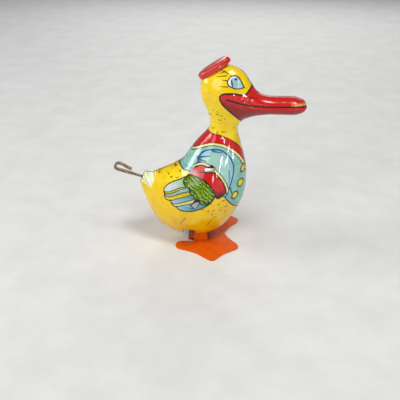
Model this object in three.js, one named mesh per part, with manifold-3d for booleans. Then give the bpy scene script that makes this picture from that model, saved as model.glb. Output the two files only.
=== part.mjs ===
// Wind-up hopping duck of lithographed tin, in millimetres, +Z up, bill towards +X, feet on Z = 0.
import * as THREE from "three";
import { mergeVertices } from "three/addons/utils/BufferGeometryUtils.js";
import Module from "manifold-3d";

const wasm = await Module();
wasm.setup();

// ---------------------------------------------------------------- shared sizes
const SHELL_T = 0.4;
const SEAM_GAP = 0.15;
const SHEET_T = 0.6;
const FIT_GAP = 0.05;
const RUN_GAP = 0.15;
const DEG = Math.PI / 180;

// Body sections from the tail mouth to the tip of the bill. Each holds a point on the back, one on the belly
// and the widest one as [x, z], then the half width.
const SECTIONS = [
  [[-32.5, 36.3], [-35.3, 30.4], [-33.9, 33.3], 3.1],
  [[-28.0, 36.2], [-33.2, 23.5], [-29.6, 30.0], 6.4],
  [[-22.0, 38.6], [-29.8, 15.5], [-24.0, 27.4], 10.6],
  [[-16.5, 41.2], [-25.0, 8.0], [-17.8, 25.4], 14.0],
  [[-12.4, 44.0], [-17.5, 3.4], [-10.8, 24.2], 16.6],
  [[-9.6, 48.2], [-8.5, 1.9], [-4.2, 24.4], 17.8],
  [[-7.0, 52.0], [0.0, 2.4], [1.5, 26.6], 17.6],
  [[-4.2, 55.4], [7.6, 6.2], [4.6, 30.8], 16.4],
  [[-1.6, 58.2], [14.2, 14.8], [6.4, 36.2], 14.6],
  [[0.3, 60.8], [18.9, 25.5], [7.4, 42.2], 12.2],
  [[1.0, 63.6], [19.9, 38.0], [7.9, 49.4], 9.6],
  [[0.7, 66.9], [17.6, 49.8], [7.9, 56.8], 7.4],
  [[-0.8, 70.8], [15.2, 58.6], [7.6, 64.0], 6.5],
  [[-2.9, 75.4], [15.3, 62.6], [7.2, 70.2], 7.4],
  [[-3.9, 81.0], [17.4, 65.4], [7.6, 75.6], 8.7],
  [[-2.3, 87.4], [20.0, 66.6], [9.6, 79.4], 9.2],
  [[3.7, 92.2], [22.6, 67.4], [12.6, 80.2], 9.0],
  [[11.0, 93.0], [25.0, 67.9], [15.8, 79.0], 8.3],
  [[17.0, 89.8], [27.4, 68.2], [18.8, 77.2], 7.4],
  [[21.0, 84.2], [29.6, 68.4], [22.0, 75.5], 6.4],
  [[24.2, 79.8], [31.8, 68.5], [25.8, 74.2], 5.8],
  [[29.4, 77.8], [34.8, 68.5], [31.0, 73.3], 5.6],
  [[36.4, 77.6], [38.8, 68.5], [37.4, 73.0], 5.8],
  [[42.2, 77.5], [43.2, 68.7], [42.6, 73.0], 5.9],
  [[46.4, 76.0], [46.6, 69.8], [46.4, 72.9], 4.6],
  [[48.0, 74.5], [48.1, 71.2], [48.0, 72.9], 2.6],
  [[48.6, 73.0], [48.6, 72.6], [48.6, 72.8], 0.4],
];
const SECTION_STEPS = 2;
const HALF_STEPS = 8;

// The key axis leaves the tail mouth and slopes down into the body.
const KEY_ORIGIN = new THREE.Vector3(-34.3, 0, 33.3);
const KEY_TILT = 25 * DEG;
const AHEAD = new THREE.Vector3(Math.cos(KEY_TILT), 0, -Math.sin(KEY_TILT));
const ABOVE = new THREE.Vector3(Math.sin(KEY_TILT), 0, Math.cos(KEY_TILT));
const ASIDE = new THREE.Vector3(0, 1, 0);

// The motor has axes of its own: X across the duck, Y up the plates, Z forward along the key.
const motor = new THREE.Group();
motor.position.copy(KEY_ORIGIN);
motor.quaternion.setFromRotationMatrix(new THREE.Matrix4().makeBasis(ASIDE, ABOVE, AHEAD));
motor.updateMatrix();
const TO_MOTOR = motor.matrix.clone().invert();

// Stations along the key axis.
const REAR_PLATE_A = 19.2;
const FRONT_PLATE_A = 29.2;
const PLATE_END_A = REAR_PLATE_A + SHEET_T;

// Gear train, module 0.5.
const GEAR_MODULE = 0.5;
const SECOND_AT = [7.0, -7.14];
const KICK_AT = [0, -11];
const PILLARS = [["pillar_top", 0, 10.6], ["pillar_left", 10.5, 3], ["pillar_right", -9.5, -6]];
const PILLAR_R = 1.2;
const CAM_R = 3.8;

// Foot hinge: a wire pin along Y, and the same point seen in the motor's own axes.
const HINGE = new THREE.Vector3(-3, 0, 10);
const HINGE_IN_MOTOR = HINGE.clone().applyMatrix4(TO_MOTOR);
const HINGE_A = HINGE_IN_MOTOR.z;
const HINGE_V = HINGE_IN_MOTOR.y;
const PIN_R = 0.8;
const LEG_Y = 6.9;
const CHEEK_Y = 6.25;
const EAR_Y = 8.3;

// ---------------------------------------------------------------- small helpers
function toSolid(geometry) {
  const bare = geometry.index ? geometry.toNonIndexed() : geometry.clone();
  bare.deleteAttribute("normal");
  bare.deleteAttribute("uv");
  const merged = mergeVertices(bare, 1e-5);
  return new wasm.Manifold(new wasm.Mesh({
    numProp: 3,
    vertProperties: new Float32Array(merged.attributes.position.array),
    triVerts: new Uint32Array(merged.index.array),
  }));
}

function toGeometry(solid) {
  const mesh = solid.getMesh();
  const geometry = new THREE.BufferGeometry();
  geometry.setAttribute("position", new THREE.BufferAttribute(new Float32Array(mesh.vertProperties), 3));
  geometry.setIndex(new THREE.BufferAttribute(new Uint32Array(mesh.triVerts), 1));
  return geometry;
}

function join(...geometries) {
  let solid = toSolid(geometries[0]);
  for (const next of geometries.slice(1)) {
    solid = solid.add(toSolid(next));
  }
  return toGeometry(solid);
}

function cut(geometry, ...tools) {
  let solid = toSolid(geometry);
  for (const tool of tools) {
    solid = solid.subtract(toSolid(tool));
  }
  return toGeometry(solid);
}

// A block between two corners.
function block(low, high) {
  const size = high.map((value, axis) => value - low[axis]);
  const geometry = new THREE.BoxGeometry(...size);
  return geometry.translate(...high.map((value, axis) => (value + low[axis]) / 2));
}

// Points of a circle, placed like the facets of turned().
function ring(u, v, radius, segments) {
  const points = [];
  for (let i = 0; i < segments; i += 1) {
    const angle = 2 * Math.PI * i / segments;
    points.push(new THREE.Vector2(u + radius * Math.sin(angle), v - radius * Math.cos(angle)));
  }
  return points;
}

function outline(points, holes = []) {
  const shape = new THREE.Shape(points.map((p) => (p.isVector2 ? p : new THREE.Vector2(p[0], p[1]))));
  for (const hole of holes) {
    shape.holes.push(new THREE.Path(hole));
  }
  return shape;
}

// A flat sheet in the plane of local X and Y, from start along local Z.
function slab(shape, start, thickness) {
  const geometry = new THREE.ExtrudeGeometry(shape, { depth: thickness, bevelEnabled: false });
  return geometry.translate(0, 0, start);
}

// A body of revolution about local Z through (u, v); the profile is [radius, height] and closes on the axis.
function turned(profile, segments, u = 0, v = 0) {
  const points = profile.map(([radius, height]) => new THREE.Vector2(radius, height));
  return new THREE.LatheGeometry(points, segments).rotateX(Math.PI / 2).translate(u, v, 0);
}

// A round wire along a list of points.
function wire(points, radius, steps, sides) {
  const path = new THREE.CatmullRomCurve3(points.map((p) => new THREE.Vector3(...p)), false, "centripetal");
  const section = outline(ring(0, 0, radius, sides));
  return new THREE.ExtrudeGeometry(section, { steps, bevelEnabled: false, extrudePath: path });
}

// The outline of a strip on edge, of a given thickness, along a line.
function strip(points, thickness) {
  const left = [];
  const right = [];
  points.forEach((point, i) => {
    const before = points[Math.max(i - 1, 0)];
    const after = points[Math.min(i + 1, points.length - 1)];
    const normal = new THREE.Vector2(before.y - after.y, after.x - before.x).normalize();
    left.push(point.clone().addScaledVector(normal, thickness / 2));
    right.unshift(point.clone().addScaledVector(normal, -thickness / 2));
  });
  return outline([...left, ...right]);
}

// Stands a sheet drawn in the motor's forward and up directions across X, its drawn face at x.
function standing(geometry, x) {
  const turn = new THREE.Matrix4().makeBasis(
    new THREE.Vector3(0, 0, 1), new THREE.Vector3(0, 1, 0), new THREE.Vector3(-1, 0, 0));
  return geometry.applyMatrix4(turn.setPosition(x, 0, 0));
}

// Colour, roughness and metalness of each kind of surface.
const LOOKS = {
  litho: [0xe0b012, 0.25, 0.0],
  red: [0xc02230, 0.28, 0.0],
  orange: [0xe05a10, 0.4, 0.0],
  steel: [0x9a9a98, 0.42, 1.0],
  spring: [0x565a60, 0.35, 1.0],
  brass: [0xb08d3f, 0.35, 1.0],
  rust: [0x6f5a4a, 0.55, 0.9],
};

function addNode(parent, name, look, geometry, position = [0, 0, 0]) {
  const [color, roughness, metalness] = LOOKS[look];
  const mesh = new THREE.Mesh(geometry, new THREE.MeshStandardMaterial({ color, roughness, metalness }));
  mesh.name = name;
  mesh.position.set(...position);
  parent.add(mesh);
  return mesh;
}

const group = new THREE.Group();
group.add(motor);
const keyTrain = new THREE.Group();
const secondTrain = new THREE.Group();
const kickTrain = new THREE.Group();
const footTurn = new THREE.Group();
secondTrain.position.set(...SECOND_AT, 0);
kickTrain.position.set(...KICK_AT, 0);
footTurn.position.copy(HINGE);
motor.add(keyTrain, secondTrain, kickTrain);
group.add(footTurn);

// ---------------------------------------------------------------- body shells
function smooth(rows, steps) {
  const first = rows[0].map((value, k) => 2 * value - rows[1][k]);
  const last = rows[rows.length - 1].map((value, k) => 2 * value - rows[rows.length - 2][k]);
  const padded = [first, ...rows, last];
  const result = [];
  for (let i = 1; i < padded.length - 2; i += 1) {
    for (let s = 0; s < steps; s += 1) {
      const t = s / steps;
      result.push(padded[i].map((b, k) => {
        const a = padded[i - 1][k];
        const c = padded[i + 1][k];
        const d = padded[i + 2][k];
        const bend = (2 * a - 5 * b + 4 * c - d) * t * t;
        return 0.5 * (2 * b + (c - a) * t + bend + (3 * b - a - 3 * c + d) * t * t * t);
      }));
    }
  }
  result.push(rows[rows.length - 1]);
  return result;
}

const STATIONS = smooth(SECTIONS.map(([u, l, r, w]) => [...u, ...l, ...r, w]), SECTION_STEPS);

// Point of the outer skin on the +Y side; turn runs from 0 on the back to PI on the belly.
function skinPoint(station, turn) {
  const [ux, uz, lx, lz, rx, rz, width] = station;
  const share = Math.cos(turn);
  const toX = share >= 0 ? ux : lx;
  const toZ = share >= 0 ? uz : lz;
  const reach = Math.abs(share);
  return new THREE.Vector3(rx + (toX - rx) * reach, width * Math.sin(turn), rz + (toZ - rz) * reach);
}

function skinGrid(offset) {
  const rows = STATIONS.map((station) => {
    const row = [];
    for (let j = 0; j <= HALF_STEPS; j += 1) {
      row.push(skinPoint(station, Math.PI * j / HALF_STEPS));
    }
    return row;
  });
  const last = rows.length - 1;
  return rows.map((row, i) => row.map((point, j) => {
    const along = rows[Math.min(i + 1, last)][j].clone().sub(rows[Math.max(i - 1, 0)][j]);
    const next = j < HALF_STEPS ? row[j + 1] : mirrored(row[j - 1]);
    const before = j > 0 ? row[j - 1] : mirrored(row[j + 1]);
    const across = next.clone().sub(before);
    const normal = along.cross(across).normalize();
    if (i === last) {
      normal.set(1, 0, 0);
    }
    return point.clone().addScaledVector(normal, offset);
  }));
}

function mirrored(point) {
  return new THREE.Vector3(point.x, -point.y, point.z);
}

// One half of the tin body: an outer and an inner grid stitched along their whole edge.
function halfShell(side) {
  const outer = skinGrid(0);
  const inner = skinGrid(-SHELL_T);
  const columns = HALF_STEPS + 1;
  const positions = [];
  for (const grid of [outer, inner]) {
    for (const row of grid) {
      const width = Math.max(...row.map((p) => p.y));
      for (const p of row) {
        const y = SEAM_GAP + Math.max(p.y, 0) * (1 - SEAM_GAP / Math.max(width, 2 * SEAM_GAP));
        positions.push(p.x, side * y, p.z);
      }
    }
  }
  const rows = outer.length;
  const inside = rows * columns;
  const triangles = [];
  const quad = (a, b, c, d) => {
    const order = side > 0 ? [a, c, b, a, d, c] : [a, b, c, a, c, d];
    triangles.push(...order);
  };
  for (let i = 0; i < rows - 1; i += 1) {
    for (let j = 0; j < columns - 1; j += 1) {
      const a = i * columns + j;
      quad(a, a + 1, a + columns + 1, a + columns);
      quad(inside + a, inside + a + columns, inside + a + columns + 1, inside + a + 1);
    }
  }
  const edge = [];
  for (let j = 0; j < columns - 1; j += 1) {
    edge.push(j);
  }
  for (let i = 0; i < rows - 1; i += 1) {
    edge.push(i * columns + columns - 1);
  }
  for (let j = columns - 1; j > 0; j -= 1) {
    edge.push((rows - 1) * columns + j);
  }
  for (let i = rows - 1; i > 0; i -= 1) {
    edge.push(i * columns);
  }
  edge.forEach((a, k) => {
    const b = edge[(k + 1) % edge.length];
    quad(a, inside + a, inside + b, b);
  });
  const geometry = new THREE.BufferGeometry();
  geometry.setAttribute("position", new THREE.BufferAttribute(new Float32Array(positions), 3));
  geometry.setIndex(triangles);
  return geometry;
}

// The whole outer skin, grown by an offset and closed at both ends.
function headEnvelope(offset) {
  const rows = skinGrid(offset).map((row) => [...row, ...row.slice(1, -1).reverse().map(mirrored)]);
  const around = rows[0].length;
  const positions = rows.flat().flatMap((p) => [p.x, p.y, p.z]);
  const triangles = [];
  for (let i = 0; i < rows.length - 1; i += 1) {
    for (let j = 0; j < around; j += 1) {
      const a = i * around + j;
      const b = i * around + (j + 1) % around;
      triangles.push(a, b + around, b, a, a + around, b + around);
    }
  }
  const tail = 0;
  const tip = (rows.length - 1) * around;
  for (let j = 1; j < around - 1; j += 1) {
    triangles.push(tail, tail + j, tail + j + 1);
    triangles.push(tip, tip + j + 1, tip + j);
  }
  const geometry = new THREE.BufferGeometry();
  geometry.setAttribute("position", new THREE.BufferAttribute(new Float32Array(positions), 3));
  geometry.setIndex(triangles);
  return geometry;
}

// The opening under the belly: narrow round the legs, wider behind them.
const OPENING_REAR_X = -12.5;
const OPENING_STEP_X = -6.1;
const OPENING_FRONT_X = 3.0;
const OPENING_REAR_Y = 13;
const OPENING_FRONT_Y = 8.2;
const openingTools = [
  block([OPENING_REAR_X, -OPENING_REAR_Y, -2], [OPENING_STEP_X, OPENING_REAR_Y, 12]),
  block([OPENING_STEP_X - 1, -OPENING_FRONT_Y, -2], [OPENING_FRONT_X, OPENING_FRONT_Y, 8]),
];

// Side tabs of the front plate: height on the plate, skin half width there, lay and length of the bent end.
const TABS = [
  { v: 25.5, half: 1.1, skin: 13.75, normal: [-0.1, 0.93, 0.36], lay: [-1.0, 0.0, -0.05], length: 4.2 },
  { v: 6.9, half: 1.1, skin: 17.7, normal: [-0.12, 0.99, 0.03], lay: [-0.75, 0.0, -0.66], length: 2.8 },
];
const TAB_GAP = 0.3;
const slotTools = TABS.flatMap(({ v, half, skin }) => [-1, 1].map((side) => block(
  [Math.min(side * (skin - 4), side * (skin + 2)), v - half - TAB_GAP, FRONT_PLATE_A - TAB_GAP],
  [Math.max(side * (skin - 4), side * (skin + 2)), v + half + TAB_GAP, PLATE_END_A + 10 + TAB_GAP],
).applyMatrix4(motor.matrix)));

for (const [name, side] of [["right_shell", -1], ["left_shell", 1]]) {
  addNode(group, name, "litho", cut(halfShell(side), ...openingTools, ...slotTools));
}

// ---------------------------------------------------------------- cap
// An oval pressing, long side fore and aft, its underside trimmed to the head.
const CAP = { x: 3.6, z: 90.4, tilt: 33.5 * DEG, radius: 8.7, halfWidth: 5.2, height: 3.2, wall: 0.4 };
function ovalDish(profile, halfWidth, radius) {
  return turned(profile, 24).scale(1, halfWidth / radius, 1);
}
const capOutside = ovalDish([
  [0, 0], [CAP.radius, 0], [CAP.radius, CAP.height - 0.8], [CAP.radius - 0.2, CAP.height - 0.45],
  [CAP.radius - 0.8, CAP.height - 0.2], [5, CAP.height - 0.05], [0, CAP.height],
], CAP.halfWidth, CAP.radius);
const capInside = ovalDish([
  [0, -1], [CAP.radius - CAP.wall, -1], [CAP.radius - CAP.wall, CAP.height - 1.2],
  [CAP.radius - 1, CAP.height - 0.65], [5, CAP.height - 0.45], [0, CAP.height - CAP.wall],
], CAP.halfWidth - CAP.wall, CAP.radius - CAP.wall);
const capFrame = new THREE.Matrix4().makeRotationY(-CAP.tilt).setPosition(CAP.x, 0, CAP.z);
const headUnderCap = headEnvelope(0.3).applyMatrix4(capFrame.clone().invert());
const cap = addNode(group, "cap", "red", cut(capOutside, capInside, headUnderCap), [CAP.x, 0, CAP.z]);
cap.rotation.y = -CAP.tilt;

// ---------------------------------------------------------------- motor frame
const PIVOT_R = 0.5;
const SHAFT_R = 0.8;
const ARBOR_R = 1.6;
const ARBOR_NOSE_R = 1.0;
const TURN_SIDES = 12;

function hole(u, v, radius) {
  return ring(u, v, radius, TURN_SIDES);
}

const pillarHoles = PILLARS.map(([, u, v]) => hole(u, v, PIVOT_R + 0.1 + FIT_GAP));
const rearShape = outline(
  [[-11.3, -8.5], [-6.5, -13], [5, -13], [11, -9], [12.2, -4], [12.2, 4.5], [9, 9.5],
    [2.2, 12.6], [-2.2, 12.6], [-9, 8], [-11.3, 2]],
  [hole(0, 0, ARBOR_R + RUN_GAP), hole(...SECOND_AT, PIVOT_R + RUN_GAP), hole(...KICK_AT, PIVOT_R + RUN_GAP),
    ...pillarHoles],
);
addNode(motor, "rear_plate", "steel", slab(rearShape, 0, SHEET_T), [0, 0, REAR_PLATE_A]);

function tabParts(side) {
  return TABS.flatMap(({ v, half, skin, normal, lay, length }) => {
    const reach = skin + 0.55;
    const neckLow = [Math.min(side * 8, side * reach), v - half, 0];
    const neckHigh = [Math.max(side * 8, side * reach), v + half, SHEET_T];
    const neck = block(neckLow, neckHigh);
    const out = new THREE.Vector3(normal[0], side * normal[1], normal[2]).transformDirection(TO_MOTOR);
    const along = new THREE.Vector3(...lay).transformDirection(TO_MOTOR);
    along.addScaledVector(out, -along.dot(out)).normalize();
    const across = out.clone().cross(along);
    const bend = new THREE.Vector3(side * (skin + 0.42), v, SHEET_T / 2);
    const flap = block([-0.25, -half + 0.1, -0.2], [length, half - 0.1, 0.2]);
    flap.applyMatrix4(new THREE.Matrix4().makeBasis(along, across, out).setPosition(bend));
    return [neck, flap];
  });
}

const frontShape = outline(
  [[-11.5, -9], [-7, -14], [7, -14], [11.5, -9], [12.5, 2], [12.5, 11], [9.5, 22], [9.5, 27.5],
    [-9.5, 27.5], [-9.5, 22], [-12.5, 11], [-12.5, 2]],
  [hole(0, 0, ARBOR_NOSE_R + RUN_GAP), hole(...SECOND_AT, PIVOT_R + RUN_GAP),
    hole(...KICK_AT, SHAFT_R + RUN_GAP), ...pillarHoles,
    [[-6, 15], [6, 15], [5, 23.5], [-5, 23.5]].map((p) => new THREE.Vector2(...p))],
);
const earTop = -4.6;
const earLow = -10.8;
const earReach = HINGE_A - FRONT_PLATE_A + 2.3;
function ear(side) {
  const shape = outline(
    [[0, earLow], [earReach - 1.5, earLow], [earReach, earLow + 1.6], [earReach, earTop - 1],
      [earReach - 1.2, earTop], [0, earTop]],
    [ring(HINGE_A - FRONT_PLATE_A, HINGE_V, PIN_R + FIT_GAP, TURN_SIDES)],
  );
  return standing(slab(shape, 0, SHEET_T), side > 0 ? EAR_Y + SHEET_T : -EAR_Y);
}
const frontParts = [slab(frontShape, 0, SHEET_T), ear(1), ear(-1), ...tabParts(1), ...tabParts(-1)];
addNode(motor, "front_plate", "steel", join(...frontParts), [0, 0, FRONT_PLATE_A]);

for (const [name, u, v] of PILLARS) {
  const low = PLATE_END_A + 0.02;
  const high = FRONT_PLATE_A - 0.02;
  const neck = PIVOT_R + 0.1;
  const profile = [[0, REAR_PLATE_A - 0.4], [neck - 0.15, REAR_PLATE_A - 0.4], [neck, REAR_PLATE_A - 0.25],
    [neck, low], [PILLAR_R, low], [PILLAR_R, high], [neck, high], [neck, PLATE_END_A + 10.25],
    [neck - 0.15, PLATE_END_A + 10.4], [0, PLATE_END_A + 10.4]];
  addNode(motor, name, "steel", turned(profile, TURN_SIDES), [u, v, 0]);
}

// ---------------------------------------------------------------- key, arbor and mainspring
const WIRE_R = 0.68;
const LOOP_R = 1.8;
const LOOP_A = -13.08;
const GRIP_T = 1.1;
const GRIP_W = 2.3;
const GRIP_START_A = -5;
const GRIP_END_A = -6.6;
const GRIP_PINCH = 1.2;
const SET_SLOPE = 0.14;
// The grip is the same wire hammered flat and bent back in a hairpin, drawn ahead and up.
const gripLine = [new THREE.Vector2(GRIP_START_A, 0), new THREE.Vector2(-9.5, 0)];
for (let i = 0; i <= 10; i += 1) {
  const angle = Math.PI * i / 10;
  gripLine.push(new THREE.Vector2(LOOP_A - LOOP_R * Math.sin(angle), LOOP_R * (1 - Math.cos(angle))));
}
for (let i = 1; i <= 4; i += 1) {
  const share = i / 4;
  const drop = GRIP_PINCH * share * share * (3 - 2 * share);
  gripLine.push(new THREE.Vector2(LOOP_A + (GRIP_END_A - LOOP_A) * share, 2 * LOOP_R - drop));
}
// Outside the mouth the whole wire has a slight downward set.
for (const point of gripLine) {
  point.y += SET_SLOPE * point.x;
}
const grip = standing(slab(strip(gripLine, GRIP_T), 0, GRIP_W), GRIP_W / 2);
const shankEnd = GRIP_START_A - 1;
const shankLine = [[0, 0, 24], [0, 0, 14], [0, 0, 4], [0, 0, 0.5], [0, -2.5 * SET_SLOPE, -2.5],
  [0, shankEnd * SET_SLOPE, shankEnd]];
const shank = wire(shankLine, WIRE_R, 16, 8);
addNode(keyTrain, "winding_key", "rust", join(shank, grip));

const SOCKET_R = WIRE_R + 0.12;
const arborProfile = [
  [0, 24.3], [SOCKET_R, 24.3], [SOCKET_R, 17.2], [ARBOR_R - 0.2, 17.2], [ARBOR_R, 17.4], [ARBOR_R, 27.4],
  [ARBOR_NOSE_R, 27.4], [ARBOR_NOSE_R, 30.3], [ARBOR_NOSE_R - 0.2, 30.5], [0, 30.5],
];
addNode(keyTrain, "arbor", "steel", turned(arborProfile, TURN_SIDES));

const SPRING_T = 0.25;
const SPRING_IN_R = ARBOR_R + 0.3;
const SPRING_OUT_R = 9.15;
const SPRING_TURNS = 4.25;
const SPRING_STEPS = 84;
const SPRING_START = PLATE_END_A + 0.6;
const SPRING_W = 4.2;
const springLine = [];
for (let i = 0; i <= SPRING_STEPS; i += 1) {
  const share = i / SPRING_STEPS;
  const angle = Math.PI / 2 - 2 * Math.PI * SPRING_TURNS * (1 - share);
  const radius = SPRING_IN_R + (SPRING_OUT_R - SPRING_IN_R) * share;
  springLine.push(new THREE.Vector2(radius * Math.cos(angle), radius * Math.sin(angle)));
}
const HOOK_R = PILLARS[0][2] - SPRING_OUT_R;
for (let i = 1; i <= 7; i += 1) {
  const angle = -Math.PI / 2 - Math.PI * i / 7;
  springLine.push(new THREE.Vector2(HOOK_R * Math.cos(angle), PILLARS[0][2] + HOOK_R * Math.sin(angle)));
}
addNode(motor, "mainspring", "spring", slab(strip(springLine, SPRING_T), 0, SPRING_W), [0, 0, SPRING_START]);

// ---------------------------------------------------------------- gears
// Straight-sided teeth; toothAt is the direction of the middle of one tooth.
function gearSlab(teeth, toothAt, bore, thickness) {
  const pitch = GEAR_MODULE * teeth / 2;
  const tip = pitch + 0.8 * GEAR_MODULE;
  const root = pitch - 1.05 * GEAR_MODULE;
  const step = 2 * Math.PI / teeth;
  const points = [];
  for (let i = 0; i < teeth; i += 1) {
    for (const [radius, share] of [[root, -0.3], [tip, -0.1], [tip, 0.1], [root, 0.3]]) {
      const angle = toothAt + step * (i + share);
      points.push(new THREE.Vector2(radius * Math.cos(angle), radius * Math.sin(angle)));
    }
  }
  return slab(outline(points, [hole(0, 0, bore)]), 0, thickness);
}

const MAIN_TEETH = 32;
const SECOND_TEETH = 24;
const PINION_TEETH = 8;
const toSecond = Math.atan2(SECOND_AT[1], SECOND_AT[0]);
const toKick = Math.atan2(KICK_AT[1] - SECOND_AT[1], KICK_AT[0] - SECOND_AT[0]);
const halfPinion = Math.PI / PINION_TEETH;
const MAIN_A = 25.0;
const SECOND_GEAR_A = 27.0;

const CLICK_PIN = { y: 5.6, r: 0.5 };
const pinHole = turned([[0, -1], [CLICK_PIN.r + FIT_GAP, -1], [CLICK_PIN.r + FIT_GAP, 2], [0, 2]], TURN_SIDES,
  0, CLICK_PIN.y);
const bore = SHAFT_R + FIT_GAP;
const mainGear = cut(gearSlab(MAIN_TEETH, toSecond, ARBOR_R + FIT_GAP, 0.8), pinHole);
addNode(keyTrain, "main_gear", "brass", mainGear, [0, 0, MAIN_A]);
const secondPinion = gearSlab(PINION_TEETH, toSecond + Math.PI + halfPinion, bore, 1.3);
addNode(secondTrain, "second_pinion", "steel", secondPinion, [0, 0, MAIN_A - 0.1]);
const secondGear = gearSlab(SECOND_TEETH, toKick, bore, 0.6);
addNode(secondTrain, "second_gear", "brass", secondGear, [0, 0, SECOND_GEAR_A]);
const kickPinion = gearSlab(PINION_TEETH, toKick + Math.PI + halfPinion, bore, 1.2);
addNode(kickTrain, "kick_pinion", "steel", kickPinion, [0, 0, SECOND_GEAR_A - 0.3]);

// Ratchet wheel on the arbor and the click that drives the main gear.
const RATCHET_TEETH = 10;
const RATCHET_A = MAIN_A + 1.0;
const ratchetPoints = [];
for (let i = 0; i < RATCHET_TEETH; i += 1) {
  const angle = Math.PI / 2 + 2 * Math.PI * i / RATCHET_TEETH;
  const next = angle + 1.9 * Math.PI / RATCHET_TEETH;
  ratchetPoints.push(new THREE.Vector2(2.5 * Math.cos(angle), 2.5 * Math.sin(angle)));
  ratchetPoints.push(new THREE.Vector2(3.3 * Math.cos(next), 3.3 * Math.sin(next)));
}
const ratchetShape = outline(ratchetPoints, [hole(0, 0, ARBOR_R + FIT_GAP)]);
addNode(keyTrain, "ratchet_wheel", "steel", slab(ratchetShape, 0, 0.6), [0, 0, RATCHET_A]);
const clickShape = outline(
  [[0.95, 0.5], [0.2, 0.9], [-0.6, 0.8], [-1.0, 0], [-0.75, -0.7], [0.35, -1.85], [0.75, -2.05],
    [0.95, -1.0]],
  [hole(0, 0, CLICK_PIN.r + FIT_GAP)],
);
addNode(keyTrain, "click", "steel", slab(clickShape, 0, 0.6), [0, CLICK_PIN.y, RATCHET_A]);
const clickPin = turned([[0, -0.15], [CLICK_PIN.r, -0.15], [CLICK_PIN.r, 1.8], [0, 1.8]], TURN_SIDES);
addNode(keyTrain, "click_pin", "steel", clickPin, [0, CLICK_PIN.y, MAIN_A]);

const shaftFoot = [[0, REAR_PLATE_A - 0.4], [PIVOT_R, REAR_PLATE_A - 0.4], [PIVOT_R, PLATE_END_A + 0.2],
  [SHAFT_R, PLATE_END_A + 0.2]];
addNode(secondTrain, "second_shaft", "steel", turned([
  ...shaftFoot, [SHAFT_R, FRONT_PLATE_A - 0.2], [PIVOT_R, FRONT_PLATE_A - 0.2],
  [PIVOT_R, FRONT_PLATE_A + 1], [0, FRONT_PLATE_A + 1],
], TURN_SIDES));
const CAM_A = FRONT_PLATE_A + 1.4;
const CAM_W = 1.8;
addNode(kickTrain, "kick_shaft", "steel", turned([
  ...shaftFoot, [SHAFT_R, CAM_A + CAM_W + 0.6], [0, CAM_A + CAM_W + 0.6],
], TURN_SIDES));
const camPoints = [];
for (let i = 0; i < 28; i += 1) {
  const angle = 2 * Math.PI * i / 28;
  const radius = CAM_R - 1 - Math.cos(2 * angle);
  camPoints.push(new THREE.Vector2(radius * Math.sin(angle), -radius * Math.cos(angle)));
}
const cam = slab(outline(camPoints, [hole(0, 0, bore)]), 0, CAM_W);
addNode(kickTrain, "kick_cam", "steel", cam, [0, 0, CAM_A]);

// ---------------------------------------------------------------- feet, lever, hinge pin and return spring
// The outline of the left foot from the rear notch round to the front notch, as [x, y].
const FOOT = [
  [-7.0, 8.0], [-8.6, 9.9], [-12.8, 9.8], [-14.9, 10.7], [-16.0, 12.4], [-16.1, 14.6], [-15.2, 16.7],
  [-12.6, 18.2], [-8.4, 19.8], [-4.4, 22.4], [-0.9, 25.6], [1.4, 27.8], [3.0, 28.6], [4.6, 27.9],
  [6.4, 25.4], [9.6, 21.4], [14.6, 17.5], [16.2, 15.6], [16.3, 13.6], [15.2, 11.0], [12.6, 7.6],
  [10.4, 3.8], [9.2, 0],
];
const footOutline = [
  ...FOOT,
  ...FOOT.slice(0, -1).reverse().map(([x, y]) => [x, -y]),
];
const LEG_REAR_X = -7;
const LEG_FRONT_X = 0.4;
const footWindow = [
  [LEG_REAR_X - 3, -LEG_Y], [LEG_REAR_X - 3, LEG_Y], [LEG_FRONT_X, LEG_Y], [LEG_FRONT_X, -LEG_Y],
];
const RIVET = { x: -4.9, z: 6.6, r: 0.7 };
// Legs are drawn in x and z, measured from the hinge, and stand across Y with the drawn face at y.
function legwise(geometry, y) {
  const turn = new THREE.Matrix4().makeBasis(
    new THREE.Vector3(1, 0, 0), new THREE.Vector3(0, 0, 1), new THREE.Vector3(0, -1, 0));
  return geometry.applyMatrix4(turn.setPosition(0, y, 0));
}
const legShape = outline(
  [[LEG_REAR_X, 0.1], [LEG_FRONT_X, 0.1], [LEG_FRONT_X, 2], [-0.3, 6], [-0.2, 9.2], [-0.7, 11.3], [-2, 12.7],
    [-4, 12.7], [-5.4, 11.3], [-6.2, 8.8], [-6.8, 5]],
  [ring(HINGE.x, HINGE.z, PIN_R + RUN_GAP, TURN_SIDES),
    ring(RIVET.x, RIVET.z, RIVET.r + FIT_GAP, TURN_SIDES)],
);
const legs = [-LEG_Y, LEG_Y + SHEET_T].map((y) => legwise(slab(legShape, 0, SHEET_T), y));
const webbed = cut(slab(outline(footOutline), 0, SHEET_T), slab(outline(footWindow), -1, 3));
addNode(footTurn, "feet", "orange", join(webbed, ...legs).translate(-HINGE.x, 0, -HINGE.z));

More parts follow.
